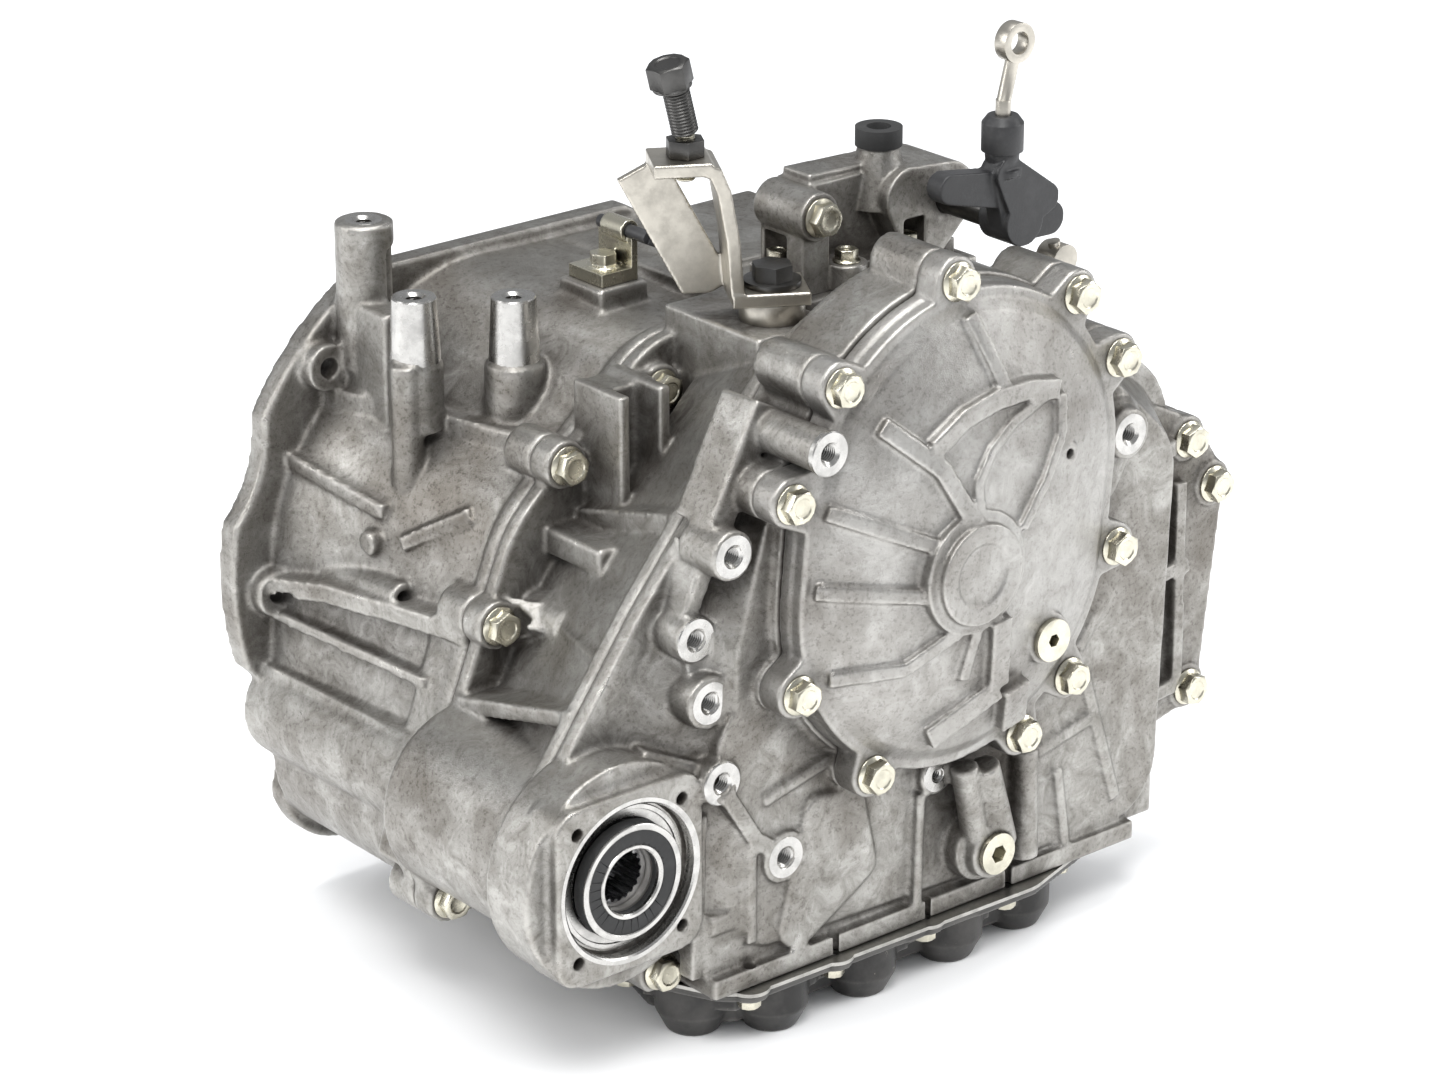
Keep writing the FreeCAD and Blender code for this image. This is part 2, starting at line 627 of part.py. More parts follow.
def dome_depth(spot):
    """How far from the engine face the dome's outside lies at a point."""
    inset = COVER_LINE[0][2] - math.dist(spot, cover_spine(spot))
    for (first, low), (last, high) in zip(DOME, DOME[1:]):
        if inset <= last:
            return low + (high - low) * (inset - first) / (last - first)
    return DOME[-1][1]


def dome_ridge(spots, width, proud):
    """A rib lying on the dome through points (x, z)."""
    run = [at(spot, dome_depth(spot) + proud) for spot in spots]
    return bars(run, width, proud + 5, (0, -1, 0))


def end_cover():
    """The domed cover: rim with bolt ears, step, dome, hub and its ribs."""
    joint, rim, hub = COVER_SPLIT, COVER_RIM, size("hub_face")
    solids = [slab(COVER_LINE, joint, rim), slab(COVER_LINE, joint, joint + 7, 1)]
    solids += dome(0)
    solids.append(disc("hub_radius_out", HUB, rim, hub))
    solids.append(disc("hub_radius_out + 6", HUB, rim, hub - 4.5))
    hollows = [slab(COVER_LINE, joint - 1, rim - 6, -12)] + dome(WALL)
    hollows.append(disc("hub_recess", HUB, hub - 1.5, hub + 1))
    for spot in COVER_BOLTS:
        solids.append(cover_ear(spot, joint, rim))
        hollows.append(disc("bolt_hole", spot, joint - 1, rim + 1))
    # ribs from the hub outwards, clockwise from the upper left
    solids += dome_ridge([(43, 80), (23, 114), (-8, 141)], 10, 5)
    solids += dome_ridge([(29, 69), (-38, 101)], 8, 5)
    solids += dome_ridge([(19, 47), (-44, 60)], 8, 5)
    solids += dome_ridge([(34, 24), (5, 10), (-36, 11)], 8, 4)
    solids += dome_ridge([(47, 22), (42, -6)], 7, 4)
    solids += dome_ridge([(62, 24), (67, -17), (26, -37)], 13, 6)
    solids += dome_ridge([(70, 30), (98, -12), (107, -26)], 10, 5)
    solids += dome_ridge([(80, -20), (86, -46)], 17, 8)
    # the arch over the hub and the ridges under it
    solids += dome_ridge([(20, 124), (40, 136), (62, 141), (84, 141), (106, 136)], 11, 5)
    solids += dome_ridge([(109, 133), (107, 112), (94, 92), (76, 70)], 6, 4)
    solids += dome_ridge([(47, 82), (46, 101), (56, 116), (72, 127), (104, 136)], 6, 3)
    solids += dome_ridge([(54, 184), (62, 162), (70, 140)], 8, 4)
    for spot, face, radius, hole in COVER_BOSSES:
        solids.append(disc(radius, spot, joint, face))
        hollows.append(disc(hole, spot, face - 14, face + 1))
    hollows.append(disc(12, FILL_PLUG, COVER_BOSSES[0][1], hub))
    # clearance round the long boss that stands beside the rim
    hollows.append(disc(12, END_BOSSES[1][0], joint - 1, hub))
    piece("end_cover", solids, hollows)


FILL_PLUG = (105, -1)
COVER_BOSSES = [(FILL_PLUG, 337, 14, 8.1), ((116, 98), 337, 6, 2.6)]


def oil_pan():
    """The pressed steel pan: flange, sloping lobes and hollow inside."""
    top = size("pan_joint") - size("gasket_thick")
    bottom = size("pan_bottom")
    rails = [(-62, -184), (60, -178), (178, -184), (182, -262), (120, -282), (-60, -278), (-78, -240)]
    solids = [pan_slab(rails, top - 4, top, 17), pan_slab(rails, bottom + 12, top - 3, 4)]
    solids.append(pan_slab(rails, bottom, bottom + 13, -6))
    for x, y in ((-38, -284), (22, -285), (84, -285), (138, -280), (-72, -262)):
        solids.append(taper(14, 20, (x, y, bottom - 6), (x, y, bottom + 6)))
        solids.append(rod(20, (x, y, bottom + 5.5), (x, y, top - 4)))
    hollows = [pan_slab(rails, bottom + 14, top + 1, 1.5), pan_slab(rails, bottom + 3, bottom + 15, -9)]
    for x, y in PAN_BOLTS:
        solids.append(rod(10, (x, y, top - 4), (x, y, top)))
        hollows.append(rod("small_bolt_radius + 0.2", (x, y, top - 5), (x, y, top + 1)))
        hollows.append(rod(8.4, (x, y, bottom - 1), (x, y, top - 4)))
    piece("oil_pan", solids, hollows)
    gasket = [pan_slab(rails, top, top + size("gasket_thick"), 18)]
    opening = [pan_slab(rails, top - 1, top + 4, 0)]
    for x, y in PAN_BOLTS:
        gasket.append(rod(11, (x, y, top), (x, y, top + size("gasket_thick"))))
        opening.append(rod("small_bolt_radius + 0.2", (x, y, top - 1), (x, y, top + 4)))
    piece("pan_gasket", gasket, opening)


PAN_BOLTS = [(-94, -206), (-98, -240), (-66, -300), (-10, -301), (54, -301), (112, -301), (164, -288),
             (200, -244), (200, -200), (150, -166), (60, -162), (-30, -166)]


def pan_slab(rails, low, high, grow):
    """The pan's outline, a belt round its corners, between two heights."""
    item = doc.addObject("Part::Extrusion", "pan_slab")
    outline = belt([(x, y, 12) for x, y in rails][::-1], 0, grow)
    outline.Placement = FreeCAD.Placement(V(0, 0, low), FreeCAD.Rotation())
    item.Base = outline
    item.DirMode = "Custom"
    item.Dir = V(0, 0, 1)
    item.LengthFwd = high - low
    item.Solid = True
    return item


# ---------------------------------------------------------------- gears
def gear_shape(teeth, phase, width, bore):
    """A spur gear standing along -Y from the origin, a tooth centred on the phase angle."""
    module = MODULE
    pitch = module * teeth / 2
    base = pitch * math.cos(math.radians(20))
    tip = pitch + 0.92 * module
    root = pitch - 1.2 * module
    half = math.pi / (2 * teeth) - size("backlash") / (2 * pitch)
    involute = math.tan(math.radians(20)) - math.radians(20)

    def flank(radius):
        """Half the tooth's angle at a radius."""
        if radius <= base:
            return half + involute
        press = math.acos(base / radius)
        return half + involute - (math.tan(press) - press)

    def point(radius, angle):
        return V(radius * math.cos(angle), 0, radius * math.sin(angle))

    edges = []
    low = max(root, base)
    step = 2 * math.pi / teeth
    for tooth in range(teeth):
        centre = phase + tooth * step
        rise = [point(r, centre - flank(r)) for r in (low, (low + tip) / 2, tip)]
        fall = [point(r, centre + flank(r)) for r in (tip, (low + tip) / 2, low)]
        foot = point(root, centre - flank(low))
        heel = point(root, centre + flank(low))
        if root < low:
            edges.append(Part.makeLine(foot, rise[0]))
        edges.append(curve(rise))
        edges.append(Part.Arc(rise[-1], point(tip, centre), fall[0]).toShape())
        edges.append(curve(fall))
        if root < low:
            edges.append(Part.makeLine(fall[-1], heel))
        far = point(root, centre + step - flank(low))
        before = heel if root < low else fall[-1]
        edges.append(Part.Arc(before, point(root, centre + step / 2), far).toShape())
    solid = Part.Face(Part.Wire(edges)).extrude(V(0, -width, 0))
    if bore:
        solid = solid.cut(Part.makeCylinder(bore, width + 2, V(0, 1, 0), V(0, -1, 0)))
    return solid


def curve(points):
    spline = Part.BSplineCurve()
    spline.interpolate(points)
    return spline.toShape()


def bearing_to(start, end):
    return math.atan2(end[1] - start[1], end[0] - start[0])


def mesh(phase, teeth, direction, mate_teeth):
    """The phase of a gear in mesh with one at the given phase, seen from it in a direction."""
    offset = (direction - phase) * teeth / mate_teeth
    return direction + math.pi + offset + math.pi / mate_teeth


def gear(spot, teeth, phase, depth, width=None, bore=0):
    solid = gear_shape(int(teeth), phase, width or size("gear_width"), bore)
    solid.translate(V(spot[0], -depth, spot[1]))
    return solid


def drum(spot, radius, start, end, bore=0):
    """A plain turned disc along a shaft's axis, with a bore."""
    solid = Part.makeCylinder(radius, end - start, V(*at(spot, start)), V(0, -1, 0))
    if bore:
        solid = solid.cut(Part.makeCylinder(bore, end - start + 2, V(*at(spot, start - 1)), V(0, -1, 0)))
    return solid


def merged(shapes):
    whole = shapes[0]
    for shape in shapes[1:]:
        whole = whole.fuse(shape)
    return whole.removeSplitter()


# Depths along the shafts of each gear and synchroniser.
REVERSE, FIRST, HUB_12, SECOND, THIRD, HUB_34 = 130, 143, 157, 173, 187, 201
FOURTH, FIFTH, HUB_5, FINAL = 217, 230, 244, 262
SHAFT_END = 296
IDLER_REACH = MODULE * (size("reverse_in") + size("idler_teeth")) / 2
IDLER_BACK = MODULE * (size("reverse_out") + size("idler_teeth")) / 2


def idler_spot():
    """Where the reverse idler touches both its mates: above the line of the shafts."""
    run = (IDLER_REACH ** 2 - IDLER_BACK ** 2 + REACH ** 2) / (2 * REACH)
    rise = math.sqrt(IDLER_REACH ** 2 - run ** 2)
    unit = (OUTPUT[0] / REACH, OUTPUT[1] / REACH)
    return (unit[0] * run + unit[1] * rise, unit[1] * run - unit[0] * rise)


IDLER = idler_spot()
BORE = size("shaft_radius")
GAP = size("running_gap")
SPEEDS = {"first": FIRST, "second": SECOND, "third": THIRD, "fourth": FOURTH, "fifth": FIFTH}


def input_shaft():
    """Input shaft with its fixed reverse, first and second pinions, splined towards the clutch."""
    parts = [drum(INPUT, BORE, 96, SHAFT_END), drum(INPUT, 10.5, 20, 97), drum(INPUT, 7.5, -14, 20)]
    for angle in range(0, 360, 20):
        spot = ring_of(INPUT, 10.6, [angle])[0]
        parts.append(drum(spot, 1.2, 22, 70))
    parts.append(gear(INPUT, size("reverse_in"), 0, REVERSE))
    for word in ("first", "second"):
        parts.append(gear(INPUT, size(word + "_in"), LINE, SPEEDS[word]))
    shaped("input_shaft", merged(parts))
    hubs = [synchro_hub(INPUT, HUB_34), synchro_hub(INPUT, HUB_5)]
    group("input_hubs", hubs)


def output_shaft():
    """Output shaft with its fixed third, fourth and fifth gears and the final pinion."""
    parts = [drum(OUTPUT, BORE, 113, SHAFT_END)]
    for word in ("third", "fourth", "fifth"):
        teeth = size(word + "_out")
        phase = mesh(LINE, size(word + "_in"), LINE, teeth)
        parts.append(gear(OUTPUT, teeth, phase, SPEEDS[word]))
    parts.append(gear(OUTPUT, size("final_pinion"), LINE, FINAL, size("final_width")))
    shaped("output_shaft", merged(parts))
    hub = synchro_hub(OUTPUT, HUB_12)
    hub.Label = "output_hub"
    NODES.append(hub)


def synchro_hub(spot, depth):
    item = doc.addObject("Part::Feature", "hub")
    item.Shape = drum(spot, size("hub_radius"), depth, depth + size("hub_width"), BORE)
    return item


def free_gears():
    """Gears that run free on their shafts until a sleeve locks them."""
    for word in ("first", "second"):
        teeth = size(word + "_out")
        phase = mesh(LINE, size(word + "_in"), LINE, teeth)
        shaped(word + "_gear", gear(OUTPUT, teeth, phase, SPEEDS[word], bore=BORE + GAP))
    for word in ("third", "fourth", "fifth"):
        shaped(word + "_gear", gear(INPUT, size(word + "_in"), LINE, SPEEDS[word], bore=BORE + GAP))
    towards = bearing_to(INPUT, IDLER)
    idler_phase = mesh(0, size("reverse_in"), towards, size("idler_teeth"))
    back = bearing_to(IDLER, OUTPUT)
    phase = mesh(idler_phase, size("idler_teeth"), back, size("reverse_out"))
    shaped("reverse_gear", gear(OUTPUT, size("reverse_out"), phase, REVERSE, bore=BORE + GAP))
    shaped("reverse_idler", gear(IDLER, size("idler_teeth"), idler_phase, REVERSE, bore=7 + GAP))
    shaped("idler_shaft", merged([drum(IDLER, 5.4, 118, 128), drum(IDLER, 7, 127, REVERSE + 14)]))


def selectors():
    """Synchroniser sleeves, the forks that slide them, and the rail the forks run on."""
    rail = rod("rail_radius", at(RAIL, 118), at(RAIL, 291))
    piece("shift_rail", [rail])
    for word, spot, depth in (("12", OUTPUT, HUB_12), ("34", INPUT, HUB_34), ("5", INPUT, HUB_5)):
        width = size("hub_width")
        sleeve = drum(spot, size("sleeve_radius"), depth, depth + width, size("hub_radius") + GAP)
        groove = drum(spot, 60, depth + 3.5, depth + width - 3.5, size("sleeve_groove"))
        shaped("sleeve_" + word, sleeve.cut(groove))
        shaped("shift_fork_" + word, fork(spot, depth + 4, width - 8))


def fork(spot, depth, thick):
    """A half ring in the sleeve's groove, an arm and a sliding boss on the rail."""
    inner = size("sleeve_groove") + 0.3
    ring = drum(spot, inner + 9, depth, depth + thick, inner)
    away = bearing_to(spot, RAIL)
    far = ring_of(spot, 60, [math.degrees(away) + 180])[0]
    ring = ring.cut(drum(far, 58, depth - 1, depth + thick + 1))
    start = ring_of(spot, inner + 5, [math.degrees(away)])[0]
    length = math.dist(start, RAIL)
    arm = Part.makeBox(length, thick, 10, V(0, 0, -5))
    arm.rotate(V(0, 0, 0), V(0, 1, 0), -math.degrees(away))
    arm.translate(V(start[0], -depth - thick, start[1]))
    boss = drum(RAIL, size("rail_radius") + 6, depth - 5, depth + thick + 5)
    whole = merged([ring, arm, boss])
    return whole.cut(drum(RAIL, size("rail_radius") + GAP, depth - 6, depth + thick + 6))


def transfer():
    """The transfer gear between the final pinion and the ring gear, on its own fixed shaft."""
    phase = mesh(LINE, size("final_pinion"), LINE, size("transfer_teeth"))
    width = size("final_width")
    shaped("transfer_gear", gear(TRANSFER, size("transfer_teeth"), phase, FINAL, width, 9 + GAP))
    shaped("transfer_shaft", merged([drum(TRANSFER, 9, 247, 278.8), drum(TRANSFER, 7.5, 278, 291)]))
    return phase


def differential(transfer_phase):
    """Ring gear, carrier, two splined side gears, two spider gears and their cross pin."""
    width = size("final_width")
    teeth = size("ring_teeth")
    carrier = size("carrier_radius")
    neck = size("neck_radius")
    phase = mesh(transfer_phase, size("transfer_teeth"), LINE, teeth)
    shaped("ring_gear", gear(DIFF, teeth, phase, FINAL, width, carrier))
    back, front = 222, FINAL + width
    body = [drum(DIFF, carrier, back, front), drum(DIFF, neck, back - 14, back + 1),
            drum(DIFF, neck, front - 1, front + 16)]
    whole = merged(body).cut(drum(DIFF, carrier - 8, back + 8, front - 8))
    whole = whole.cut(drum(DIFF, size("side_bore") + 4, back - 15, front + 17))
    middle = (back + front) / 2
    pin_low, pin_high = DIFF[1] - carrier, DIFF[1] + carrier
    pin = Part.makeCylinder(6, pin_high - pin_low, V(DIFF[0], -middle, pin_low), V(0, 0, 1))
    window = Part.makeBox(2 * carrier + 4, 26, 30, V(DIFF[0] - carrier - 2, -middle - 13, DIFF[1] - 15))
    shaped("diff_carrier", whole.cut(pin).cut(window))
    shaped("cross_pin", pin)
    side_gears(middle, back, front)


def side_gears(middle, back, front):
    """Bevel side gears with splined sockets for the drive shafts, and the spider gears."""
    bore = size("side_bore")
    sides = []
    for sign, end in ((1, front + 12), (-1, back - 10)):
        near = middle + sign * 9
        cone = Part.makeCone(17, 26, 9, V(*at(DIFF, near)), V(0, -sign, 0))
        tube = drum(DIFF, bore + 3.6, min(near, end), max(near, end))
        solid = merged([cone, tube])
        solid = solid.cut(drum(DIFF, bore, min(near, end) - 1, max(near, end) + 1))
        for angle in range(0, 360, 18):
            spot = ring_of(DIFF, bore, [angle])[0]
            solid = solid.cut(drum(spot, 1.3, min(near, end) - 1, max(near, end) + 1))
        item = doc.addObject("Part::Feature", "side")
        item.Shape = solid
        sides.append(item)
    group("side_gears", sides)
    spiders = []
    for sign in (1, -1):
        low = V(DIFF[0], -middle, DIFF[1] + sign * 18.5)
        cone = Part.makeCone(8.6, 13.2, 5.4, low, V(0, 0, sign))
        item = doc.addObject("Part::Feature", "spider")
        item.Shape = cone.cut(Part.makeCylinder(6, 20, low - V(0, 0, sign * 5), V(0, 0, sign)))
        spiders.append(item)
    group("spider_gears", spiders)


def bearings():
    """Outer and inner races drawn as one ring each, with a shield groove on both faces."""
    width = size("bearing_width")
    outer = size("bearing_radius")
    rings = []
    spots = [(INPUT, 112, BORE, outer), (OUTPUT, 112.5, BORE, outer), (INPUT, 281, BORE, outer),
             (OUTPUT, 281, BORE, outer), (DIFF, 208, size("neck_radius"), outer + 5),
             (DIFF, FINAL + size("final_width") + 1, size("neck_radius"), size("ring_seat_radius"))]
    for spot, depth, inner, outside in spots:
        ring = drum(spot, outside, depth, depth + width - 1, inner + GAP)
        middle = (inner + outside) / 2
        for start in (depth - 1, depth + width - 2.2):
            ring = ring.cut(drum(spot, middle + 2.5, start, start + 2.2, middle - 2.5))
        item = doc.addObject("Part::Feature", "bearing")
        item.Shape = ring
        rings.append(item)
    group("bearings", rings)


def seals():
    face = size("face_depth")
    case = [disc("ring_seat_radius", DIFF, face - 7, face + 1)]
    hollow = [disc("seal_bore", DIFF, face - 8, face - 5), disc("lip_radius", DIFF, face - 8, face + 2)]
    hollow.append(taper("lip_radius + 4", "lip_radius", at(DIFF, face + 1.5), at(DIFF, face - 1)))
    piece("diff_seal", case, hollow)
    ring = drum(INPUT, 26, 104, 111.5, BORE + GAP)
    shaped("input_seal", ring)


def clutch_release():
    """Guide sleeve round the input shaft, the release bearing on it and the fork behind it."""
    wall = size("bell_wall")
    flange = drum(INPUT, 34, 99, 103.9, 13)
    tube = drum(INPUT, 16, 40, 100, 13)
    shaped("guide_sleeve", merged([flange, tube]))
    shaped("release_bearing", merged([drum(INPUT, 27, 44, 58, 16 + GAP), drum(INPUT, 21, 57, 74, 16 + GAP)]))
    pivot = (46.0, 46.0)
    blade = merged([Part.makeBox(150, 6, 24, V(-82, -84, -12)), drum(INPUT, 33, 78, 84)])
    shape = blade.cut(drum(INPUT, 22, 76, 88))
    shape.rotate(V(0, 0, 0), V(0, 1, 0), -45)
    shaped("release_fork", shape)
    ball = merged([drum(pivot, 5, 88, wall), Part.makeSphere(5, V(pivot[0], -89.3, pivot[1]))])
    shaped("fork_pivot", ball)


# ---------------------------------------------------------------- fasteners and fittings
def flange_bolt(spot, seat, shank, big=True):
    """A flanged hexagon bolt whose head faces -Y, its shank running back to +Y."""
    name = "" if big else "small_"
    thick = size("washer_thick")
    top = seat + thick + size(name + "head_height")
    parts = [disc(name + "washer_radius", spot, seat, seat + thick)]
    parts.append(hexagon(name + "head_radius", at(spot, seat + thick), at(spot, top)))
    parts.append(disc(name + "bolt_radius", spot, seat - shank, seat + thick))
    return fuse(parts)


def fasteners():
    group("cover_bolts", [flange_bolt(spot, COVER_RIM, 30) for spot in COVER_BOLTS])
    group("bell_bolts", [flange_bolt(spot, BELL_SPLIT + 15, 34) for spot in SPLIT_BOLTS])
    group("case_bolts", [flange_bolt(spot, CASE_SPLIT + 15, 32) for spot in CASE_BOLTS])
    seat = size("pan_joint") - size("gasket_thick") - 4
    bolts = []
    for x, y in PAN_BOLTS:
        head = hexagon("small_head_radius", (x, y, seat - 1.5), (x, y, seat - 6))
        washer = rod("small_washer_radius", (x, y, seat), (x, y, seat - 1.5))
        bolts.append(fuse([head, washer, rod("small_bolt_radius", (x, y, seat + 14), (x, y, seat - 1))]))
    group("pan_bolts", bolts)
    for label, spot, face in (("fill_plug", FILL_PLUG, 337), ("drain_plug", DRAIN_PLUG, DRAIN_FACE)):
        solids = [disc(7.9, spot, face - 13, face), disc(11.5, spot, face, face + 3)]
        socket = hexagon(4.4 if label == "drain_plug" else 3.2, at(spot, face - 5), at(spot, face + 4))
        piece(label, solids, [socket])


SELECTOR = ((52, -196), (164, -160))
SELECTOR_AXIS = (150.0, 200.0)
SELECTOR_BOLTS = [(84, -200), (56, -178), (126, -200)]
NECK = (118.0, -186.0)
STOP_BOSS = (62.0, 202.0)


def selector_tower():
    """The selector housing on the deck with its neck, shaft boss, stop bolt boss, bolts and cap."""
    deck = size("deck")
    top = size("selector_top")
    (x0, y0), (x1, y1) = SELECTOR
    ax, az = SELECTOR_AXIS[0], SELECTOR_AXIS[1] - 4
    solids = [block((x0, y0, deck), (x1, y1, deck + 9)), block((68, -189, deck), (138, y1 - 3, top))]
    solids.append(slab([(ax, az, 19), (ax - 26, az + 4, 17), (ax - 16, az - 22, 14)], -y1 + 4, 206))
    solids.append(disc(13, STOP_BOSS, 166, 204))
    solids.append(block((STOP_BOSS[0] - 8, -200, deck), (STOP_BOSS[0] + 10, -166, STOP_BOSS[1])))
    solids.append(taper(18, 11, (*NECK, top - 20), (*NECK, top + 12)))
    solids.append(bar((70, -176, top + 5), (ax - 18, -176, top + 3), 22, 14, (0, 0, 1)))
    hollows = [disc(9, (ax, az), 150, 215), disc(5.3, STOP_BOSS, 184, 205)]
    for x, y in SELECTOR_BOLTS:
        solids.append(rod(11, (x, y, deck), (x, y, deck + 14)))
        hollows.append(rod(3.2, (x, y, deck - 1), (x, y, deck + 15)))
        hollows.append(rod(9, (x, y, deck + 14), (x, y, deck + 30)))
    piece("selector_housing", solids, hollows)
    bolts = [flange_bolt(STOP_BOSS, 204, 18)]
    for x, y in SELECTOR_BOLTS:
        head = hexagon("small_head_radius", (x, y, deck + 15.5), (x, y, deck + 21))
        washer = rod("small_washer_radius", (x, y, deck + 14), (x, y, deck + 15.5))
        bolts.append(fuse([head, washer, rod("small_bolt_radius", (x, y, deck + 0.5), (x, y, deck + 16))]))
    group("selector_bolts", bolts)
    cap = [rod(12.5, (*NECK, top + 12), (*NECK, top + 22))]
    piece("breather_cap", cap, [rod(6.5, (*NECK, top + 15), (*NECK, top + 23))])


ARM_DEPTH = 250.0
ROD_BALL = (140.0, 233.0)
EYE = (140.0, 262.0)


def linkage():
    """The outer selector arm, the rod with an eye above it and the short rod down to a ball socket."""
    x, z = SELECTOR_AXIS[0], SELECTOR_AXIS[1] - 4
    piece("selector_shaft", [rod(8.95, (x, -152, z), (x, -(ARM_DEPTH + 12), z))])
    near, far = ARM_DEPTH - 2, ARM_DEPTH + 14
    mid = -near - 8
    arm = [slab([(x, z, 13), (139, 223, 9)], near + 2, far - 3)]
    arm.append(slab([(174, 192, 9), (x, z, 12)], near, far - 5))
    arm.append(slab([(166, 206, 8), (139, 224, 9), (150, 200, 9)], near + 4, far))
    arm.append(slab([(142, 214, 10), (102, 222, 8)], near + 1, far - 4))
    arm.append(rod(13, (x, -near + 6, z), (x, -far, z)))
    bx, bz = ROD_BALL
    arm.append(rod(10, (bx, mid, bz - 11), (bx, mid, bz - 7)))
    arm.append(ball(9, (bx, mid, bz)))
    piece("selector_arm", arm, [rod(8.95, (x, -near + 7, z), (x, -(ARM_DEPTH + 12), z))])
    cup = [rod(11, (bx, mid, bz + 2), (bx, mid, bz + 17)), taper(11, 8, (bx, mid, bz + 17), (bx, mid, bz + 21))]
    piece("rod_socket", cup, [ball(9.3, (bx, mid, bz)), rod(4, (bx, mid, bz + 8), (bx, mid, bz + 22))])
    rods = [rod("rod_radius", (bx, mid, bz + 10), (bx, mid, 262))]
    rods.append(rod("rod_radius - 0.2", (bx, mid, 260), (146, mid, 283)))
    rods.append(rod(10.5, (147, mid + 4, 291), (147, mid - 4, 291)))
    piece("eye_rod", rods, [rod("eye_radius", (147, mid + 6, 291), (147, mid - 6, 291))])
    low = [rod(3.4, (178.6, mid, 178), (181, mid, 170)), rod(8.5, (182, mid + 8, 168), (182, mid - 6, 168))]
    low.append(rod(4, (182, mid, 168), (172, mid, 158)))
    low.append(rod(6.5, (171, mid + 5, 157), (171, mid - 5, 157)))
    piece("lower_rod", low, [rod(3, (171, mid + 6, 157), (171, mid - 6, 157))])


BRACKET_FOOT = (23.0, -212.0)
BRACKET_PAD = (-15.0, -189.0)


def bracket_spot(reach, level, side=0):
    """A point over the line from the bracket's pad to its foot, or to its side."""
    run = V(BRACKET_FOOT[0] - BRACKET_PAD[0], BRACKET_FOOT[1] - BRACKET_PAD[1], 0).normalize()
    x, y = BRACKET_PAD
    return (x + run.x * reach - run.y * side, y + run.y * reach + run.x * side, level)


def bracket():
    """The cranked steel bracket on the deck, its bolt, nut and tilted stud."""
    deck = size("deck")
    thick = size("bracket_plate")
    fx, fy = BRACKET_FOOT
    px, py = BRACKET_PAD
    foot = deck + 11
    pad = 240
    up = (0, 0, 1)
    solids = [bar(bracket_spot(22, foot + thick), bracket_spot(62, foot + thick), 34, thick, up)]
    solids.append(bar(bracket_spot(-18, pad + thick), bracket_spot(12, pad + thick), 33, thick, up))
    strip = [(8, pad + thick), (16, pad + thick - 3), (21, 232), (25.6, 206), (28, foot + thick - 1)]
    ahead = bracket_spot(1, 0.3)
    ahead = (ahead[0] - px, ahead[1] - py, 0.35)
    solids += bars([bracket_spot(*spot) for spot in strip], 33, thick, ahead)
    solids.append(bar(bracket_spot(-10, pad + 4, 13), bracket_spot(26, foot + 6, 13), 5, 26, ahead))
    hollows = [rod(5.3, (fx, fy, foot - 1), (fx, fy, foot + thick + 1))]
    hollows.append(rod(5.02, (px, py, pad - 1), (px, py, pad + thick + 1)))
    hollows.append(rod(16, (fx, fy, foot + thick), (fx, fy, foot + thick + 16)))
    hollows.append(block((-100, -300, 100), (100, -100, foot)))
    piece("mount_bracket", solids, hollows)
    tube = [rod(17, (fx, fy, deck), (fx, fy, foot))]
    piece("bracket_spacer", tube, [rod(5.3, (fx, fy, deck - 1), (fx, fy, foot + 1))])
    top = foot + thick
    piece("bracket_bolt", [rod(15, (fx, fy, top), (fx, fy, top + 3)), hexagon(9.5, (fx, fy, top + 3), (fx, fy, top + 11)),
                           rod(5, (fx, fy, deck - 8), (fx, fy, top + 4))])
    piece("bracket_nut", [hexagon(9, (px, py, pad + thick), (px, py, pad + thick + 9))],
          [rod(5.02, (px, py, pad), (px, py, pad + thick + 10))])
    stud = [rod("stud_radius", (px, py, pad - 6), (px, py, pad + thick + 13)),
            rod("stud_sleeve", (px, py, pad + thick + 12), (px - 9, py, pad + thick + 46)),
            hexagon(10, (px - 8.4, py, pad + thick + 43), (px - 12, py, pad + thick + 57))]
    piece("bracket_stud", stud)


def breather_line():
    """The small clip on the deck and the short pipe it holds."""
    deck = size("deck")
    clip = [block((-8, -112, deck - 4), (16, -84, deck + 3)), block((12, -112, deck - 4), (16, -84, deck + 22))]
    clip.append(rod(9, (4, -98, deck), (4, -98, deck + 4)))
    clip.append(hexagon(6.5, (4, -98, deck + 4), (4, -98, deck + 10)))
    clip.append(rod(6, (14, -90, deck + 22), (14, -108, deck + 22)))
    piece("pipe_clip", clip, [rod(3.6, (14, -80, deck + 22), (14, -118, deck + 22))])
    first = (14, -84, deck + 22)
    second = (14, -124, deck + 22)
    piece("breather_pipe", [rod(3.6, first, second), rod(3.6, second, (48, -140, deck + 6))])


def build():
    bell_housing()
    intermediate_case()
    main_gear_case()
    end_cover()
    oil_pan()
    input_shaft()
    output_shaft()
    free_gears()
    selectors()
    differential(transfer())
    bearings()
    seals()
    clutch_release()
    fasteners()
    selector_tower()
    linkage()
    bracket()
    breather_line()
    doc.recompute()


def export():
    failed = [item.Label for item in doc.Objects if "Invalid" in item.State or "Error" in item.State]
    if failed:
        raise RuntimeError("failed: " + ", ".join(failed))
    os.makedirs("parts", exist_ok=True)
    for item in NODES:
        shape = item.Shape
        if shape.isNull() or not shape.isValid():
            raise RuntimeError("bad shape: " + item.Label)
        box = shape.BoundBox
        print("%-18s solids %2d  X %7.1f %7.1f  Y %7.1f %7.1f  Z %7.1f %7.1f" % (
            item.Label, len(shape.Solids), box.XMin, box.XMax, box.YMin, box.YMax, box.ZMin, box.ZMax))
        shape.exportStep("parts/%s.step" % item.Label)
    print(len(NODES), "nodes")


build()
export()
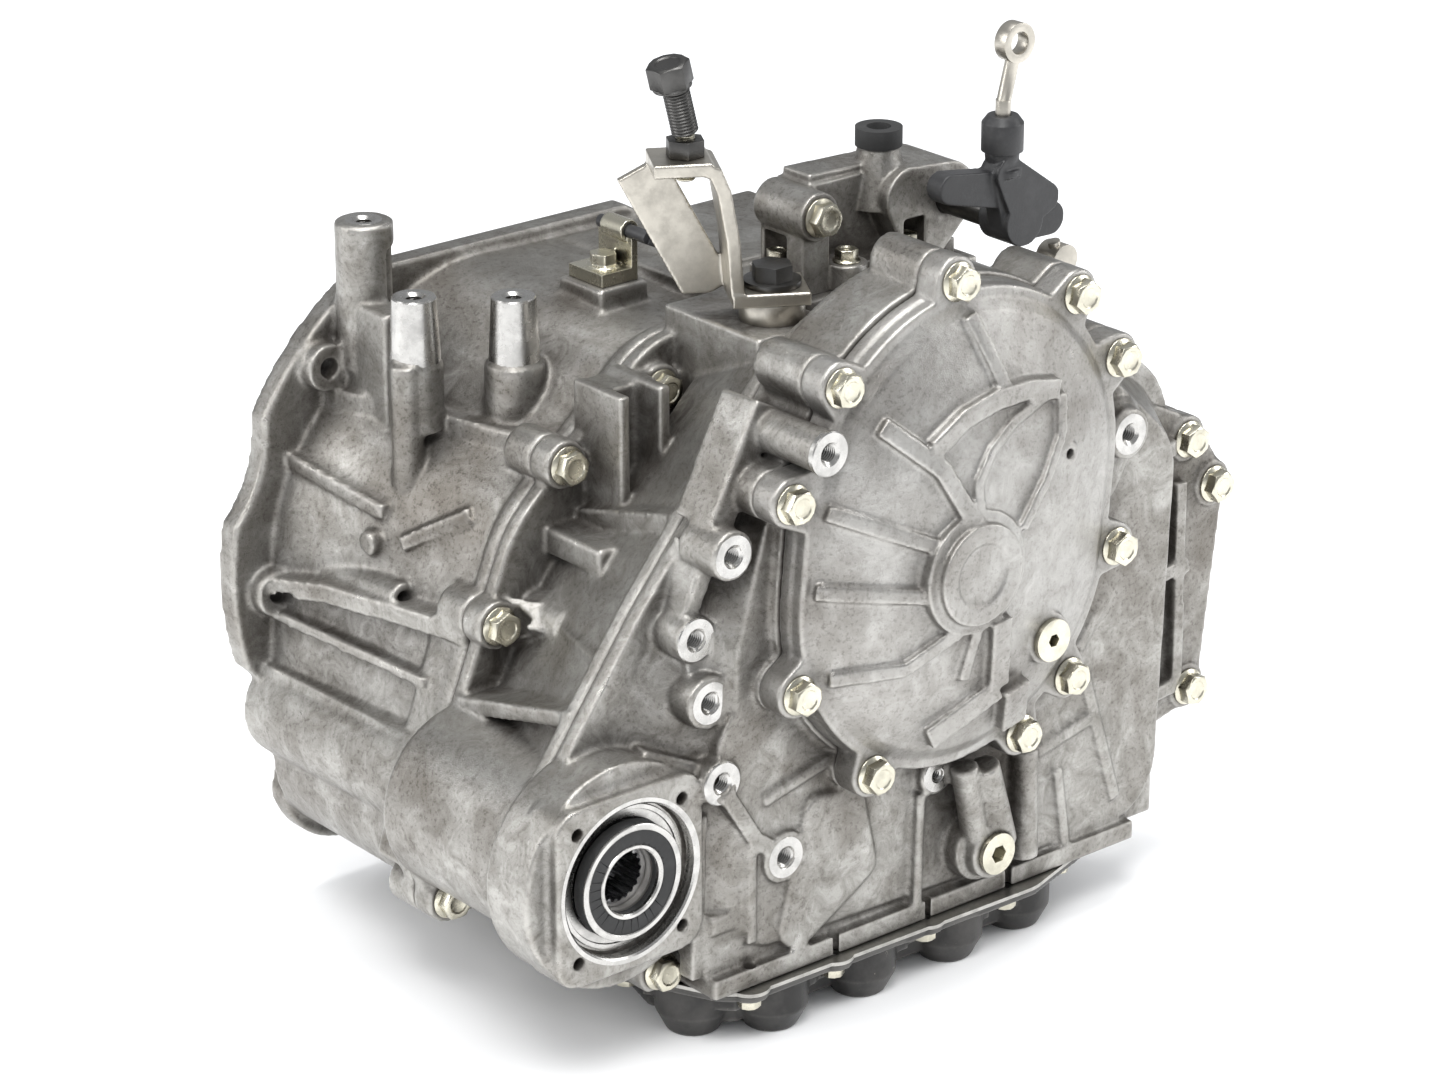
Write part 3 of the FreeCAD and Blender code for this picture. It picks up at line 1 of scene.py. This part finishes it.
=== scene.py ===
import json
import math

import bmesh
import bpy
from mathutils import Matrix, Vector

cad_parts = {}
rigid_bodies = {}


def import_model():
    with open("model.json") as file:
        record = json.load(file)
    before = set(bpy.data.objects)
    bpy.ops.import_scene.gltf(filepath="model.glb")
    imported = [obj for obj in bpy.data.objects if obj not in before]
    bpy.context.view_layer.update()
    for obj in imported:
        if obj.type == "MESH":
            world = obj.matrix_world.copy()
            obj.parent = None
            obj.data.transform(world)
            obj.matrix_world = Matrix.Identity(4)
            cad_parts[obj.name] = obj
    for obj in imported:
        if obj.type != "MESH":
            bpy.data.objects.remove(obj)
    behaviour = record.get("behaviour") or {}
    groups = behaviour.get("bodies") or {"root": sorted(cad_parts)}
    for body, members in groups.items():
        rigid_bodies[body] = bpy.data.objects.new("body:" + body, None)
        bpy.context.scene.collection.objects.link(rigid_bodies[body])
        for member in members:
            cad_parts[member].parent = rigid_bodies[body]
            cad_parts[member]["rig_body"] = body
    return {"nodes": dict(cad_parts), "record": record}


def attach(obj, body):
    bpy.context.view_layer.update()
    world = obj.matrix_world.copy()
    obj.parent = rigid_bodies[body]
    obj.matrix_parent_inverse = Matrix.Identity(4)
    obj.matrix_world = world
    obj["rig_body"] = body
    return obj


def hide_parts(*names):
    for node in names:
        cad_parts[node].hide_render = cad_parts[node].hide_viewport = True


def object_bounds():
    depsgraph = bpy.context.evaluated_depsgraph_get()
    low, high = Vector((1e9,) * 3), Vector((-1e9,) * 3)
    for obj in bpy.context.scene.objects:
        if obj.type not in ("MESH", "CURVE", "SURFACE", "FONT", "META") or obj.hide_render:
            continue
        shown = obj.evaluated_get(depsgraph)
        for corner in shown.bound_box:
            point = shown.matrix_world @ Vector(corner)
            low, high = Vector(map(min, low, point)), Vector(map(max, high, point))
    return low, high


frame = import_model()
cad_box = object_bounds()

MM = 0.001
NODES = frame["nodes"]
RECORD = frame["record"]
SLOTS = {part["node"]: part["material_slot"] for part in RECORD["subparts"]}
MOUNTS = RECORD["mounts"]


# ---------------------------------------------------------------- mesh helpers
def link(name, mesh):
    piece = bpy.data.objects.new(name, mesh)
    bpy.context.scene.collection.objects.link(piece)
    return piece


def settle(piece):
    """Applies a piece's modifiers to its mesh."""
    graph = bpy.context.evaluated_depsgraph_get()
    mesh = bpy.data.meshes.new_from_object(piece.evaluated_get(graph))
    piece.modifiers.clear()
    piece.data = mesh


def modify(piece, kind, **settings):
    """Adds one modifier with its settings."""
    change = piece.modifiers.new(kind.lower(), kind)
    for name, value in settings.items():
        setattr(change, name, value)


def smooth(piece, angle):
    """Shades a piece smooth, but keeps edges sharper than an angle in degrees."""
    for face in piece.data.polygons:
        face.use_smooth = True
    piece.data.set_sharp_from_angle(angle=math.radians(angle))


def weld(mesh):
    """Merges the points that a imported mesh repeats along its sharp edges."""
    work = bmesh.new()
    work.from_mesh(mesh)
    bmesh.ops.remove_doubles(work, verts=work.verts, dist=1e-6)
    work.to_mesh(mesh)
    work.free()


def copy_of(node, name):
    """A new object with a welded copy of a node's mesh."""
    mesh = NODES[node].data.copy()
    mesh.materials.clear()
    weld(mesh)
    return link(name, mesh)


def lathe(name, profile, steps, closed):
    """A ring turned about Z from points (radius, height) in metres."""
    work = bmesh.new()
    rows = []
    for index in range(steps):
        angle = 2 * math.pi * index / steps
        row = [work.verts.new((r * math.cos(angle), r * math.sin(angle), z)) for r, z in profile]
        rows.append(row)
    count = len(profile)
    spans = count if closed else count - 1
    for index in range(steps):
        near, far = rows[index], rows[(index + 1) % steps]
        for low in range(spans):
            high = (low + 1) % count
            work.faces.new((near[low], far[low], far[high], near[high]))
    bmesh.ops.remove_doubles(work, verts=work.verts, dist=1e-7)
    bmesh.ops.recalc_face_normals(work, faces=work.faces)
    mesh = bpy.data.meshes.new(name)
    work.to_mesh(mesh)
    work.free()
    return mesh


def turned(name, profile, steps, closed=True):
    """A ring turned about Z from points (radius, height) in mm."""
    return lathe(name, [(r * MM, z * MM) for r, z in profile], steps, closed)


def place(mesh, spot, axis):
    """Turns a mesh made about Z to an axis and moves it to a spot."""
    turn = Vector(axis).to_track_quat("Z", "Y").to_matrix().to_4x4()
    mesh.transform(Matrix.Translation(Vector(spot)) @ turn)
    return mesh


def joined(name, meshes):
    """One piece from several meshes."""
    work = bmesh.new()
    for mesh in meshes:
        work.from_mesh(mesh)
    mesh = bpy.data.meshes.new(name)
    work.to_mesh(mesh)
    work.free()
    return link(name, mesh)


def islands(node):
    """The lowest and highest corners of each loose solid in a CAD node."""
    mesh = NODES[node].data.copy()
    weld(mesh)
    work = bmesh.new()
    work.from_mesh(mesh)
    left = set(work.verts)
    boxes = []
    while left:
        stack = [left.pop()]
        low = stack[0].co.copy()
        high = low.copy()
        while stack:
            vert = stack.pop()
            low = Vector(map(min, low, vert.co))
            high = Vector(map(max, high, vert.co))
            for edge in vert.link_edges:
                other = edge.other_vert(vert)
                if other in left:
                    left.remove(other)
                    stack.append(other)
        boxes.append((low, high))
    work.free()
    return sorted(boxes, key=lambda pair: tuple(pair[0]))


def finish_piece(piece, material, body, slot, *nodes):
    """Gives a piece its material and its body, and hides the nodes that it stands for; the slot is not used.
    """
    piece.data.materials.clear()
    piece.data.materials.append(material)
    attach(piece, body)
    if nodes:
        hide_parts(*nodes)


# ---------------------------------------------------------------- material helpers
class Surface:
    """A node material under construction."""

    def __init__(self, name, **settings):
        self.material = bpy.data.materials.new(name)
        self.material.use_nodes = True
        self.tree = self.material.node_tree
        self.shader = self.tree.nodes["Principled BSDF"]
        for socket, value in settings.items():
            self.shader.inputs[socket.replace("_", " ")].default_value = value
        coords = self.tree.nodes.new("ShaderNodeTexCoord")
        self.place = coords.outputs["Object"]

    def node(self, kind, **inputs):
        made = self.tree.nodes.new(kind)
        for name, value in inputs.items():
            self.feed(made.inputs[name.replace("_", " ")], value)
        return made

    def feed(self, socket, value):
        if isinstance(value, bpy.types.NodeSocket):
            self.tree.links.new(value, socket)
        else:
            socket.default_value = value

    def noise(self, scale, detail=6.0, roughness=0.6, distortion=0.0):
        made = self.node("ShaderNodeTexNoise", Vector=self.place, Scale=scale, Detail=detail,
                         Roughness=roughness, Distortion=distortion)
        return made.outputs["Fac"]

    def ramp(self, value, *stops):
        """Colour or grey stops as (position, colour or number)."""
        made = self.node("ShaderNodeValToRGB", Fac=value)
        marks = made.color_ramp.elements
        while len(marks) < len(stops):
            marks.new(0.5)
        for mark, (where, colour) in zip(marks, stops):
            mark.position = where
            mark.color = (colour,) * 3 + (1,) if isinstance(colour, (int, float)) else (*colour, 1)
        return made.outputs["Color"]

    def mix(self, share, first, second):
        made = self.tree.nodes.new("ShaderNodeMix")
        made.data_type = "RGBA"
        self.feed(made.inputs[0], share)
        for socket, value in ((made.inputs[6], first), (made.inputs[7], second)):
            self.feed(socket, (*value, 1) if isinstance(value, tuple) else value)
        return made.outputs[2]

    def math(self, operation, first, second):
        made = self.tree.nodes.new("ShaderNodeMath")
        made.operation = operation
        made.use_clamp = True
        self.feed(made.inputs[0], first)
        self.feed(made.inputs[1], second)
        return made.outputs[0]

    def hollow(self, reach):
        """1 in recesses, 0 in the open."""
        made = self.node("ShaderNodeAmbientOcclusion", Distance=reach)
        made.samples = 6
        return self.math("SUBTRACT", 1.0, made.outputs["AO"])

    def edge(self, low, high):
        """1 on sharp outside edges, used for wear and, on castings, for a painted highlight."""
        point = self.tree.nodes.new("ShaderNodeNewGeometry").outputs["Pointiness"]
        return self.ramp(point, (low, 0.0), (high, 1.0))

    def bump(self, height, strength, distance):
        made = self.node("ShaderNodeBump", Height=height, Strength=strength, Distance=distance)
        self.tree.links.new(made.outputs["Normal"], self.shader.inputs["Normal"])

    def paint(self, **sockets):
        for name, value in sockets.items():
            self.feed(self.shader.inputs[name.replace("_", " ")], value)
        return self.material


def cast_aluminium(name, light=(0.47, 0.46, 0.435), shade=(0.21, 0.2, 0.18), dirt_and_shade=1.0, wear_and_highlight=0.55):
    """Sand-cast aluminium: mottled grey, dark brown soiling and painted shade in recesses, pits, and bright
    edges from wear and a painted highlight.
    """
    face = Surface(name)
    blotch = face.noise(13, 6, 0.62, 0.5)
    mottle = face.noise(62, 10, 0.7, 0.9)
    pits = face.noise(430, 6, 0.72)
    grain = face.noise(1900, 3, 0.6)
    colour = face.mix(face.ramp(mottle, (0.3, 0.0), (0.68, 1.0)), shade, light)
    brown = tuple(part * 0.62 for part in (0.22, 0.195, 0.165))
    stained = face.math("MULTIPLY", face.ramp(blotch, (0.42, 0.0), (0.7, 0.85)), dirt_and_shade)
    colour = face.mix(stained, colour, brown)
    speckle = face.math("MULTIPLY", face.ramp(pits, (0.52, 0.0), (0.62, 1.0)),
                        face.ramp(blotch, (0.35, 0.3), (0.62, 1.0)))
    colour = face.mix(face.math("MULTIPLY", speckle, 0.55 * dirt_and_shade), colour, (0.05, 0.041, 0.033))
    # Recesses are darkened towards near-black from ambient occlusion: partly soiling, partly painted shade.
    recess = face.ramp(face.hollow(0.028), (0.1, 0.0), (0.42, 1.0))
    grime_and_recess_shade = face.math("MULTIPLY", recess, face.ramp(mottle, (0.3, 1.0), (0.72, 0.55)))
    grime_and_recess_shade = face.math("MULTIPLY", grime_and_recess_shade, dirt_and_shade)
    colour = face.mix(grime_and_recess_shade, colour, (0.027, 0.021, 0.016))
    # Sharp outside edges are brightened from pointiness: partly wear, partly a painted highlight.
    rub_and_highlight = face.math("MULTIPLY", face.edge(0.51, 0.57), wear_and_highlight)
    colour = face.mix(rub_and_highlight, colour, (0.6, 0.58, 0.545))
    rough = face.math("ADD", face.ramp(mottle, (0.3, 0.44), (0.7, 0.26)), face.math("MULTIPLY", grime_and_recess_shade, 0.3))
    rough = face.math("SUBTRACT", rough, face.math("MULTIPLY", rub_and_highlight, 0.12))
    metal = face.math("SUBTRACT", 0.94, face.math("MULTIPLY", grime_and_recess_shade, 0.6))
    height = face.math("ADD", face.math("MULTIPLY", pits, 0.6), face.math("MULTIPLY", grain, 0.4))
    face.bump(height, 0.6, 0.0007)
    return face.paint(Base_Color=colour, Roughness=rough, Metallic=metal)


def machined(name, colour=(0.54, 0.53, 0.51), low=0.2, high=0.34, stain=0.5):
    """Bright turned or milled metal with fine marks, a little staining and painted shade in its recesses."""
    face = Surface(name, Metallic=1.0)
    marks = face.noise(900, 3, 0.7, 0.2)
    cloud = face.noise(90, 6, 0.65)
    dark = tuple(part * 0.35 for part in colour)
    tone = face.mix(face.ramp(cloud, (0.42, 0.0), (0.74, stain)), colour, dark)
    # Painted shade: recesses are darkened towards near-black from ambient occlusion.
    recess = face.math("MULTIPLY", face.ramp(face.hollow(0.006), (0.2, 0.0), (0.8, 1.0)), 0.7)
    tone = face.mix(recess, tone, (0.04, 0.034, 0.028))
    face.bump(marks, 0.25, 0.0002)
    return face.paint(Base_Color=tone, Roughness=face.ramp(cloud, (0.3, low), (0.7, high)))


def moulded(name, colour, low, high, scale=700):
    """Matt moulded plastic or rubber with a fine skin."""
    face = Surface(name)
    skin = face.noise(scale, 4, 0.6)
    dust = face.noise(60, 6, 0.7)
    pale = tuple(part * 2.2 + 0.02 for part in colour)
    face.bump(skin, 0.3, 0.0003)
    tone = face.mix(face.ramp(dust, (0.5, 0.0), (0.8, 0.7)), colour, pale)
    return face.paint(Base_Color=tone, Roughness=face.ramp(dust, (0.3, low), (0.7, high)))


def pressed(name):
    """Dark painted pressed steel with chips and dust."""
    face = Surface(name)
    chips = face.noise(160, 8, 0.7, 0.5)
    dust = face.noise(35, 6, 0.6)
    bare = face.ramp(chips, (0.66, 0.0), (0.69, 1.0))
    tone = face.mix(face.ramp(dust, (0.4, 0.0), (0.8, 1.0)), (0.028, 0.027, 0.026), (0.10, 0.095, 0.09))
    tone = face.mix(bare, tone, (0.36, 0.33, 0.29))
    tone = face.mix(face.math("MULTIPLY", face.edge(0.51, 0.57), 0.6), tone, (0.3, 0.29, 0.27))
    face.bump(chips, 0.3, 0.0005)
    metal = face.math("ADD", 0.35, face.math("MULTIPLY", bare, 0.5))
    return face.paint(Base_Color=tone, Metallic=metal, Roughness=face.ramp(dust, (0.3, 0.3), (0.7, 0.55)))


MATERIALS = {
    "cast_aluminium": cast_aluminium("cast_aluminium"),
    "cover": cast_aluminium("cover_aluminium", (0.47, 0.46, 0.44), (0.33, 0.32, 0.3), 0.7, 0.55),
    "machined": machined("machined_aluminium"),
    "pan_steel": pressed("pan_steel"),
    "gasket": machined("gasket_steel", (0.5, 0.49, 0.46), 0.3, 0.5, 0.6),
    "plated_steel": machined("plated_steel", (0.66, 0.63, 0.52), 0.2, 0.36, 0.45),
    "bracket_steel": machined("bracket_steel", (0.55, 0.52, 0.46), 0.28, 0.42, 0.4),
    "dark_steel": machined("dark_steel", (0.10, 0.098, 0.095), 0.3, 0.45, 0.3),
    "black_rubber": moulded("black_rubber", (0.018, 0.018, 0.018), 0.6, 0.8),
    "black_plastic": moulded("black_plastic", (0.02, 0.02, 0.021), 0.35, 0.55),
    "gear_steel": machined("gear_steel", (0.56, 0.56, 0.57), 0.18, 0.3, 0.2),
    "brass_bronze": machined("bronze", (0.66, 0.47, 0.22), 0.25, 0.4, 0.3),
    "cast_iron": cast_aluminium("cast_iron", (0.24, 0.235, 0.23), (0.14, 0.135, 0.13), 0.6),
}


# ---------------------------------------------------------------- camera, floor and light
HUB = Vector((0.045, -0.350, 0.054))
MIDDLE = Vector((0, -0.15, 0))
AZIMUTH, ELEVATION = math.radians(-40), math.radians(22)
DISTANCE = 2.25
LEFT_OF_HUB, ABOVE_HUB = 0.130, 0.0165
FLOOR_REACH = 9
AMBIENT, GLOSSY_LOSS = 0.9, -0.5
RIGHT = Vector((math.cos(AZIMUTH), math.sin(AZIMUTH), 0))
BACK = Vector((math.sin(AZIMUTH) * math.cos(ELEVATION), -math.cos(AZIMUTH) * math.cos(ELEVATION),
               math.sin(ELEVATION)))
UP = BACK.cross(RIGHT)


def camera():
    """A long lens that looks along the photo's direction."""
    eye = bpy.data.cameras.new("camera")
    eye.sensor_width = 36
    eye.lens = 112
    eye.clip_end = 30
    view = link("camera", eye)
    view.location = HUB - RIGHT * LEFT_OF_HUB + UP * ABOVE_HUB + BACK * DISTANCE
    view.rotation_mode = "QUATERNION"
    view.rotation_quaternion = Matrix((RIGHT, UP, BACK)).transposed().to_quaternion()
    bpy.context.scene.camera = view


def floor():
    """A pale floor under the part's lowest point."""
    low = cad_box[0].z
    mesh = bpy.data.meshes.new("floor")
    reach = FLOOR_REACH
    corners = [(-reach, -reach, low), (reach, -reach, low), (reach, reach, low), (-reach, reach, low)]
    mesh.from_pydata(corners, [], [(0, 1, 2, 3)])
    ground = link("floor", mesh)
    face = Surface("floor", Roughness=0.7)
    tone = face.mix(face.noise(3, 3), (0.93, 0.93, 0.93), (0.95, 0.95, 0.95))
    ground.data.materials.append(face.paint(Base_Color=tone))


def lamp(name, spot, size, power):
    """A rectangular softbox aimed at the middle of the part."""
    light = bpy.data.lights.new(name, "AREA")
    light.shape = "RECTANGLE"
    light.size, light.size_y = size
    light.energy = power
    holder = link(name, light)
    holder.location = spot
    aim = MIDDLE - Vector(spot)
    holder.rotation_mode = "QUATERNION"
    holder.rotation_quaternion = aim.to_track_quat("-Z", "Y")


def studio():
    """Four softboxes in a white world that is dimmer in reflections and plain white behind the part."""
    world = bpy.data.worlds.new("studio")
    bpy.context.scene.world = world
    world.use_nodes = True
    tree = world.node_tree
    shade = tree.nodes["Background"]
    shade.inputs["Color"].default_value = (0.95, 0.97, 1.0, 1)
    path = tree.nodes.new("ShaderNodeLightPath")
    dim = tree.nodes.new("ShaderNodeMath")
    dim.operation = "MULTIPLY_ADD"
    tree.links.new(path.outputs["Is Glossy Ray"], dim.inputs[0])
    dim.inputs[1].default_value = GLOSSY_LOSS
    dim.inputs[2].default_value = AMBIENT
    tree.links.new(dim.outputs[0], shade.inputs["Strength"])
    seen = tree.nodes.new("ShaderNodeBackground")
    seen.inputs["Color"].default_value = (1, 1, 1, 1)
    seen.inputs["Strength"].default_value = 1.0
    blend = tree.nodes.new("ShaderNodeMixShader")
    tree.links.new(path.outputs["Is Camera Ray"], blend.inputs[0])
    tree.links.new(shade.outputs[0], blend.inputs[1])
    tree.links.new(seen.outputs[0], blend.inputs[2])
    tree.links.new(blend.outputs[0], tree.nodes["World Output"].inputs[0])
    lamp("key", (-1.3, -1.5, 2.3), (1.2, 0.9), 50)
    lamp("top", (0.2, -0.1, 2.6), (1.4, 1.0), 48)
    lamp("fill", (1.9, -1.5, 0.9), (0.8, 1.4), 18)
    lamp("rim", (-2.0, 0.9, 1.1), (0.9, 1.6), 24)
    bpy.context.scene.view_settings.view_transform = "Standard"
    bpy.context.scene.view_settings.look = "None"


# ---------------------------------------------------------------- castings
MOST_TRIANGLES = 190000


def casting(node, grain, rounds, material=None):
    """A casting from its CAD node: remeshed and softened so that edges and corners are rounded."""
    piece = copy_of(node, node + "_cast")
    modify(piece, "REMESH", mode="VOXEL", voxel_size=grain, use_smooth_shade=True)
    modify(piece, "SMOOTH", factor=0.5, iterations=rounds)
    settle(piece)
    share = MOST_TRIANGLES / max(1, 2 * len(piece.data.polygons))
    if share < 1:
        modify(piece, "DECIMATE", ratio=share)
        settle(piece)
    for face in piece.data.polygons:
        face.use_smooth = True
    slot = SLOTS[node]
    finish_piece(piece, MATERIALS[material or slot], NODES[node]["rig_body"], slot, node)


def castings():
    """All cast, moulded and pressed parts, with the grain of the remesh in mm."""
    coarse = 1
    for node, grain in (("bell_housing", 1.6), ("intermediate_case", 1.4), ("main_gear_case", 1.4),
                        ("selector_housing", 0.8), ("oil_pan", 1.1), ("mount_bracket", 0.7),
                        ("pipe_clip", 0.5), ("selector_arm", 0.6)):
        casting(node, grain * coarse * MM, 5)
    casting("end_cover", 1.1 * coarse * MM, 6, "cover")


def bevelled(node, width=0.4):
    """A copy of a machined or turned CAD node with its sharp edges broken; the width is in mm."""
    piece = copy_of(node, node + "_finished")
    modify(piece, "BEVEL", width=width * MM, segments=2, limit_method="ANGLE", angle_limit=math.radians(32))
    settle(piece)
    smooth(piece, 32)
    slot = SLOTS[node]
    finish_piece(piece, MATERIALS[slot], NODES[node]["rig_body"], slot, node)


# ---------------------------------------------------------------- bolts
HEAD_SIDES = 12
HEAD_EDGE = 0.25 * MM
HEAD_TURN = 23
FLAT_BOLT = 21 * MM


def head_ring(work, corner, flat, level):
    """Twelve points round a hexagon: its corners, and the middles of its flats."""
    ring = []
    for side in range(HEAD_SIDES):
        angle = 2 * math.pi * side / HEAD_SIDES
        reach = flat if side % 2 else corner
        ring.append(work.verts.new((reach * math.cos(angle), reach * math.sin(angle), level)))
    return ring


def hexagon_head(across, height, flange, thick):
    """A flanged hexagon head standing on Z = 0: chamfered corners, dished top, conical flange."""
    corner = across / math.cos(math.radians(30))
    chamfer = corner - across
    top = thick + height
    cone = [(0.0, 0.0), (flange, 0.0), (flange, thick * 0.45), (flange * 0.985, thick * 0.6),
            (across * 1.02, thick * 1.25), (0.0, thick * 1.25)]
    skirt = lathe("skirt", cone, 40, False)
    work = bmesh.new()
    rings = [head_ring(work, corner, across, level) for level in (thick * 0.8, top - chamfer * 0.62)]
    for vert in rings[1][1::2]:
        vert.co.z = top - chamfer * 0.12
    crown = ((0.97, 0.0), (0.70, 0.0), (0.62, 0.7 * MM), (0.2, 0.9 * MM))
    for share, drop in crown:
        rings.append(head_ring(work, across * share, across * share, top - drop))
    for lower, upper in zip(rings, rings[1:]):
        for side in range(HEAD_SIDES):
            after = (side + 1) % HEAD_SIDES
            work.faces.new((lower[side], lower[after], upper[after], upper[side]))
    work.faces.new(rings[-1])
    work.faces.new(rings[0][::-1])
    head = bpy.data.meshes.new("head")
    work.to_mesh(head)
    work.free()
    return skirt, head


# Half the width across the flats, height above the flange, flange radius and flange thickness.
BIG = (7.9 * MM, 6.5 * MM, 10.4 * MM, 1.8 * MM)
SMALL_UP = (5.4 * MM, 5.5 * MM, 7.4 * MM, 1.5 * MM)
SMALL_DOWN = (5.4 * MM, 4.5 * MM, 7.4 * MM, 1.5 * MM)


def bolt_heads(boxes, axis, sizes):
    """Detailed heads over plain bolts given by their corners, the heads facing along axis."""
    across, height, flange, thick = sizes
    out = Vector(axis)
    parts = []
    for index, (low, high) in enumerate(boxes):
        centre = (low + high) / 2
        face = max((low.dot(out), high.dot(out)))
        seat = centre - out * centre.dot(out) + out * (face - height - thick)
        for mesh in hexagon_head(across, height, flange, thick):
            mesh.transform(Matrix.Rotation(math.radians(HEAD_TURN * index), 4, "Z"))
            parts.append(place(mesh, seat, axis))
    return parts


def bolts(node, parts):
    """One piece of detailed heads that takes the place of a node of plain bolts."""
    piece = joined(node + "_heads", parts)
    modify(piece, "BEVEL", width=HEAD_EDGE, segments=2, limit_method="ANGLE", angle_limit=math.radians(28))
    settle(piece)
    smooth(piece, 30)
    finish_piece(piece, MATERIALS[SLOTS[node]], "root", SLOTS[node], node)


def all_bolts():
    ahead = (0, -1, 0)
    for node in ("cover_bolts", "bell_bolts", "case_bolts"):
        bolts(node, bolt_heads(islands(node), ahead, BIG))
    bolts("pan_bolts", bolt_heads(islands("pan_bolts"), (0, 0, -1), SMALL_DOWN))
    boxes = islands("selector_bolts")
    flat = [box for box in boxes if (box[1] - box[0]).y > FLAT_BOLT]
    upright = [box for box in boxes if (box[1] - box[0]).y <= FLAT_BOLT]
    bolts("selector_bolts", bolt_heads(flat, ahead, BIG) + bolt_heads(upright, (0, 0, 1), SMALL_UP))


def thread(mouth, axis, radius, depth, rim=6.0):
    """A bright ring round a tapped hole, and the thread down its wall; lengths in mm."""
    pitch, tooth = 1.5, 0.9
    wall, outside, deepest = radius + 0.2, radius + rim, -depth * 0.98
    profile = [(wall, deepest)]
    turns = int(depth * 0.9 / pitch)
    for turn in range(turns, 0, -1):
        profile += [(wall, -(turn + 0.5) * pitch), (radius - tooth, -turn * pitch)]
    profile += [(wall, -0.8), (radius + 1.2, 0.06), (outside, 0.06), (outside + 0.6, -0.5),
                (outside + 0.6, -3), (radius + 1, -3), (radius + 1, deepest)]
    return place(turned("thread", profile, 40), mouth, axis)


SIDE_BOSS = (-98 * MM, -200 * MM, 15 * MM)


def post_sleeve():
    """The turned outside of a short post, hung from its top."""
    profile = [(13.2, -37), (13.62, -36.4), (11.72, -0.7), (11.1, 0.05), (9.6, 0.05), (9.6, -37)]
    return turned("sleeve", profile, 64)


def threads():
    """Rings and threads for every tapped hole, and the sleeves of the two shorter posts."""
    meshes = [thread(SIDE_BOSS, (0, -1, 0), 5.1, 22)]
    for mount in MOUNTS:
        if mount["kind"] != "threaded_hole":
            continue
        axis = Vector(mount["axis"])
        radius, depth = mount["dims"]["r_mm"], mount["dims"]["length_mm"]
        upright = axis.z > 0.5
        reach = 10 if upright else depth / 2
        mouth = Vector(mount["pos_m"]) + axis * reach * MM
        meshes.append(thread(mouth, axis, radius, depth, 4.6 if upright else 6))
        if upright and mount["name"] != "mount_post_1":
            meshes.append(place(post_sleeve(), mouth, axis))
    piece = joined("machined_bosses", meshes)
    smooth(piece, 25)
    finish_piece(piece, MATERIALS["machined"], "root", "cast_aluminium")


# ---------------------------------------------------------------- output and fittings
def mount_spot(name):
    """Where a mount of the record is."""
    return next(Vector(mount["pos_m"]) for mount in MOUNTS if mount["name"] == name)


def output_seat():
    """Turned lining of the open recess round the output, with a stepped floor and a steel seal ring."""
    ahead = (0, -1, 0)
    spot = mount_spot("drive_shaft_seal")
    wall = [(40.7, -5.9), (40.7, 2.2), (41.7, 3.05), (44.0, 3.05), (44.0, 2.5), (41.2, 1.8), (41.2, -5.9)]
    seat = [(31.3, -6.3), (31.3, -5.4), (35.4, -5.4), (35.8, -4.6), (38.0, -4.6), (38.4, -5.6), (40.8, -5.6),
            (40.8, -6.3)]
    ring = [(27.6, 3.4), (27.6, 4.3), (28.2, 4.6), (30.4, 4.6), (30.9, 4.2), (30.9, 3.4)]
    lip = [(17.1, 0.5), (17.1, 3.4), (17.9, 4.2), (19.4, 4.2), (19.8, 3.6), (19.8, 0.5)]
    meshes = [place(turned("seat", profile, 96), spot, ahead) for profile in (wall, seat, ring, lip)]
    piece = joined("output_seat", meshes)
    smooth(piece, 25)
    finish_piece(piece, MATERIALS["machined"], "root", "cast_aluminium")


STUD_FOOT = Vector((-15, -189, 0))
STUD_LEAN = Vector((-9, 0, 34)).normalized()


def grooved(radius, length, pitch):
    """A threaded rod standing on Z = 0, in mm."""
    root = radius - 0.5
    profile = [(0, 0), (root, 0)]
    for turn in range(int(length / pitch)):
        profile += [(radius, (turn + 0.35) * pitch), (radius, (turn + 0.6) * pitch),
                    (root, (turn + 0.95) * pitch)]
    profile += [(root, length), (0, length)]
    return turned("thread", profile, 40, False)


def stud():
    """The bracket's stud: bright threaded shank, dark threaded collar and a long hexagon cap."""
    shank = place(grooved(5, 25, 1.5), (STUD_FOOT + Vector((0, 0, 234.5))) * MM, (0, 0, 1))
    piece = joined("stud_shank", [shank])
    smooth(piece, 25)
    finish_piece(piece, MATERIALS["plated_steel"], "root", SLOTS["bracket_stud"])
    parts = [place(grooved(7, 25, 1.8), (STUD_FOOT + Vector((0, 0, 259.4))) * MM, STUD_LEAN)]
    seat = (STUD_FOOT + Vector((-8.0, 0, 284))) * MM
    for mesh in hexagon_head(9.9 * MM, 12 * MM, 10.2 * MM, 1.6 * MM):
        parts.append(place(mesh, seat, STUD_LEAN))
    piece = joined("stud_cap", parts)
    modify(piece, "BEVEL", width=HEAD_EDGE, segments=2, limit_method="ANGLE", angle_limit=math.radians(40))
    settle(piece)
    smooth(piece, 30)
    finish_piece(piece, MATERIALS["dark_steel"], "root", SLOTS["bracket_stud"], "bracket_stud")


def fittings():
    """Small machined parts, with their edges broken."""
    for node in ("bracket_spacer", "bracket_bolt", "bracket_nut", "breather_cap", "rod_socket", "eye_rod",
                 "lower_rod", "selector_shaft", "fill_plug", "drain_plug", "breather_pipe", "fork_pivot",
                 "shift_rail", "transfer_shaft", "idler_shaft", "cross_pin", "guide_sleeve",
                 "release_bearing", "release_fork", "input_seal", "output_hub", "input_hubs"):
        bevelled(node)
    bevelled("diff_seal", 0.8)


# ---------------------------------------------------------------- build
camera()
floor()
studio()
castings()
threads()
all_bolts()
output_seat()
stud()
fittings()
for name, item in NODES.items():
    item.data.materials.clear()
    item.data.materials.append(MATERIALS[SLOTS[name]])
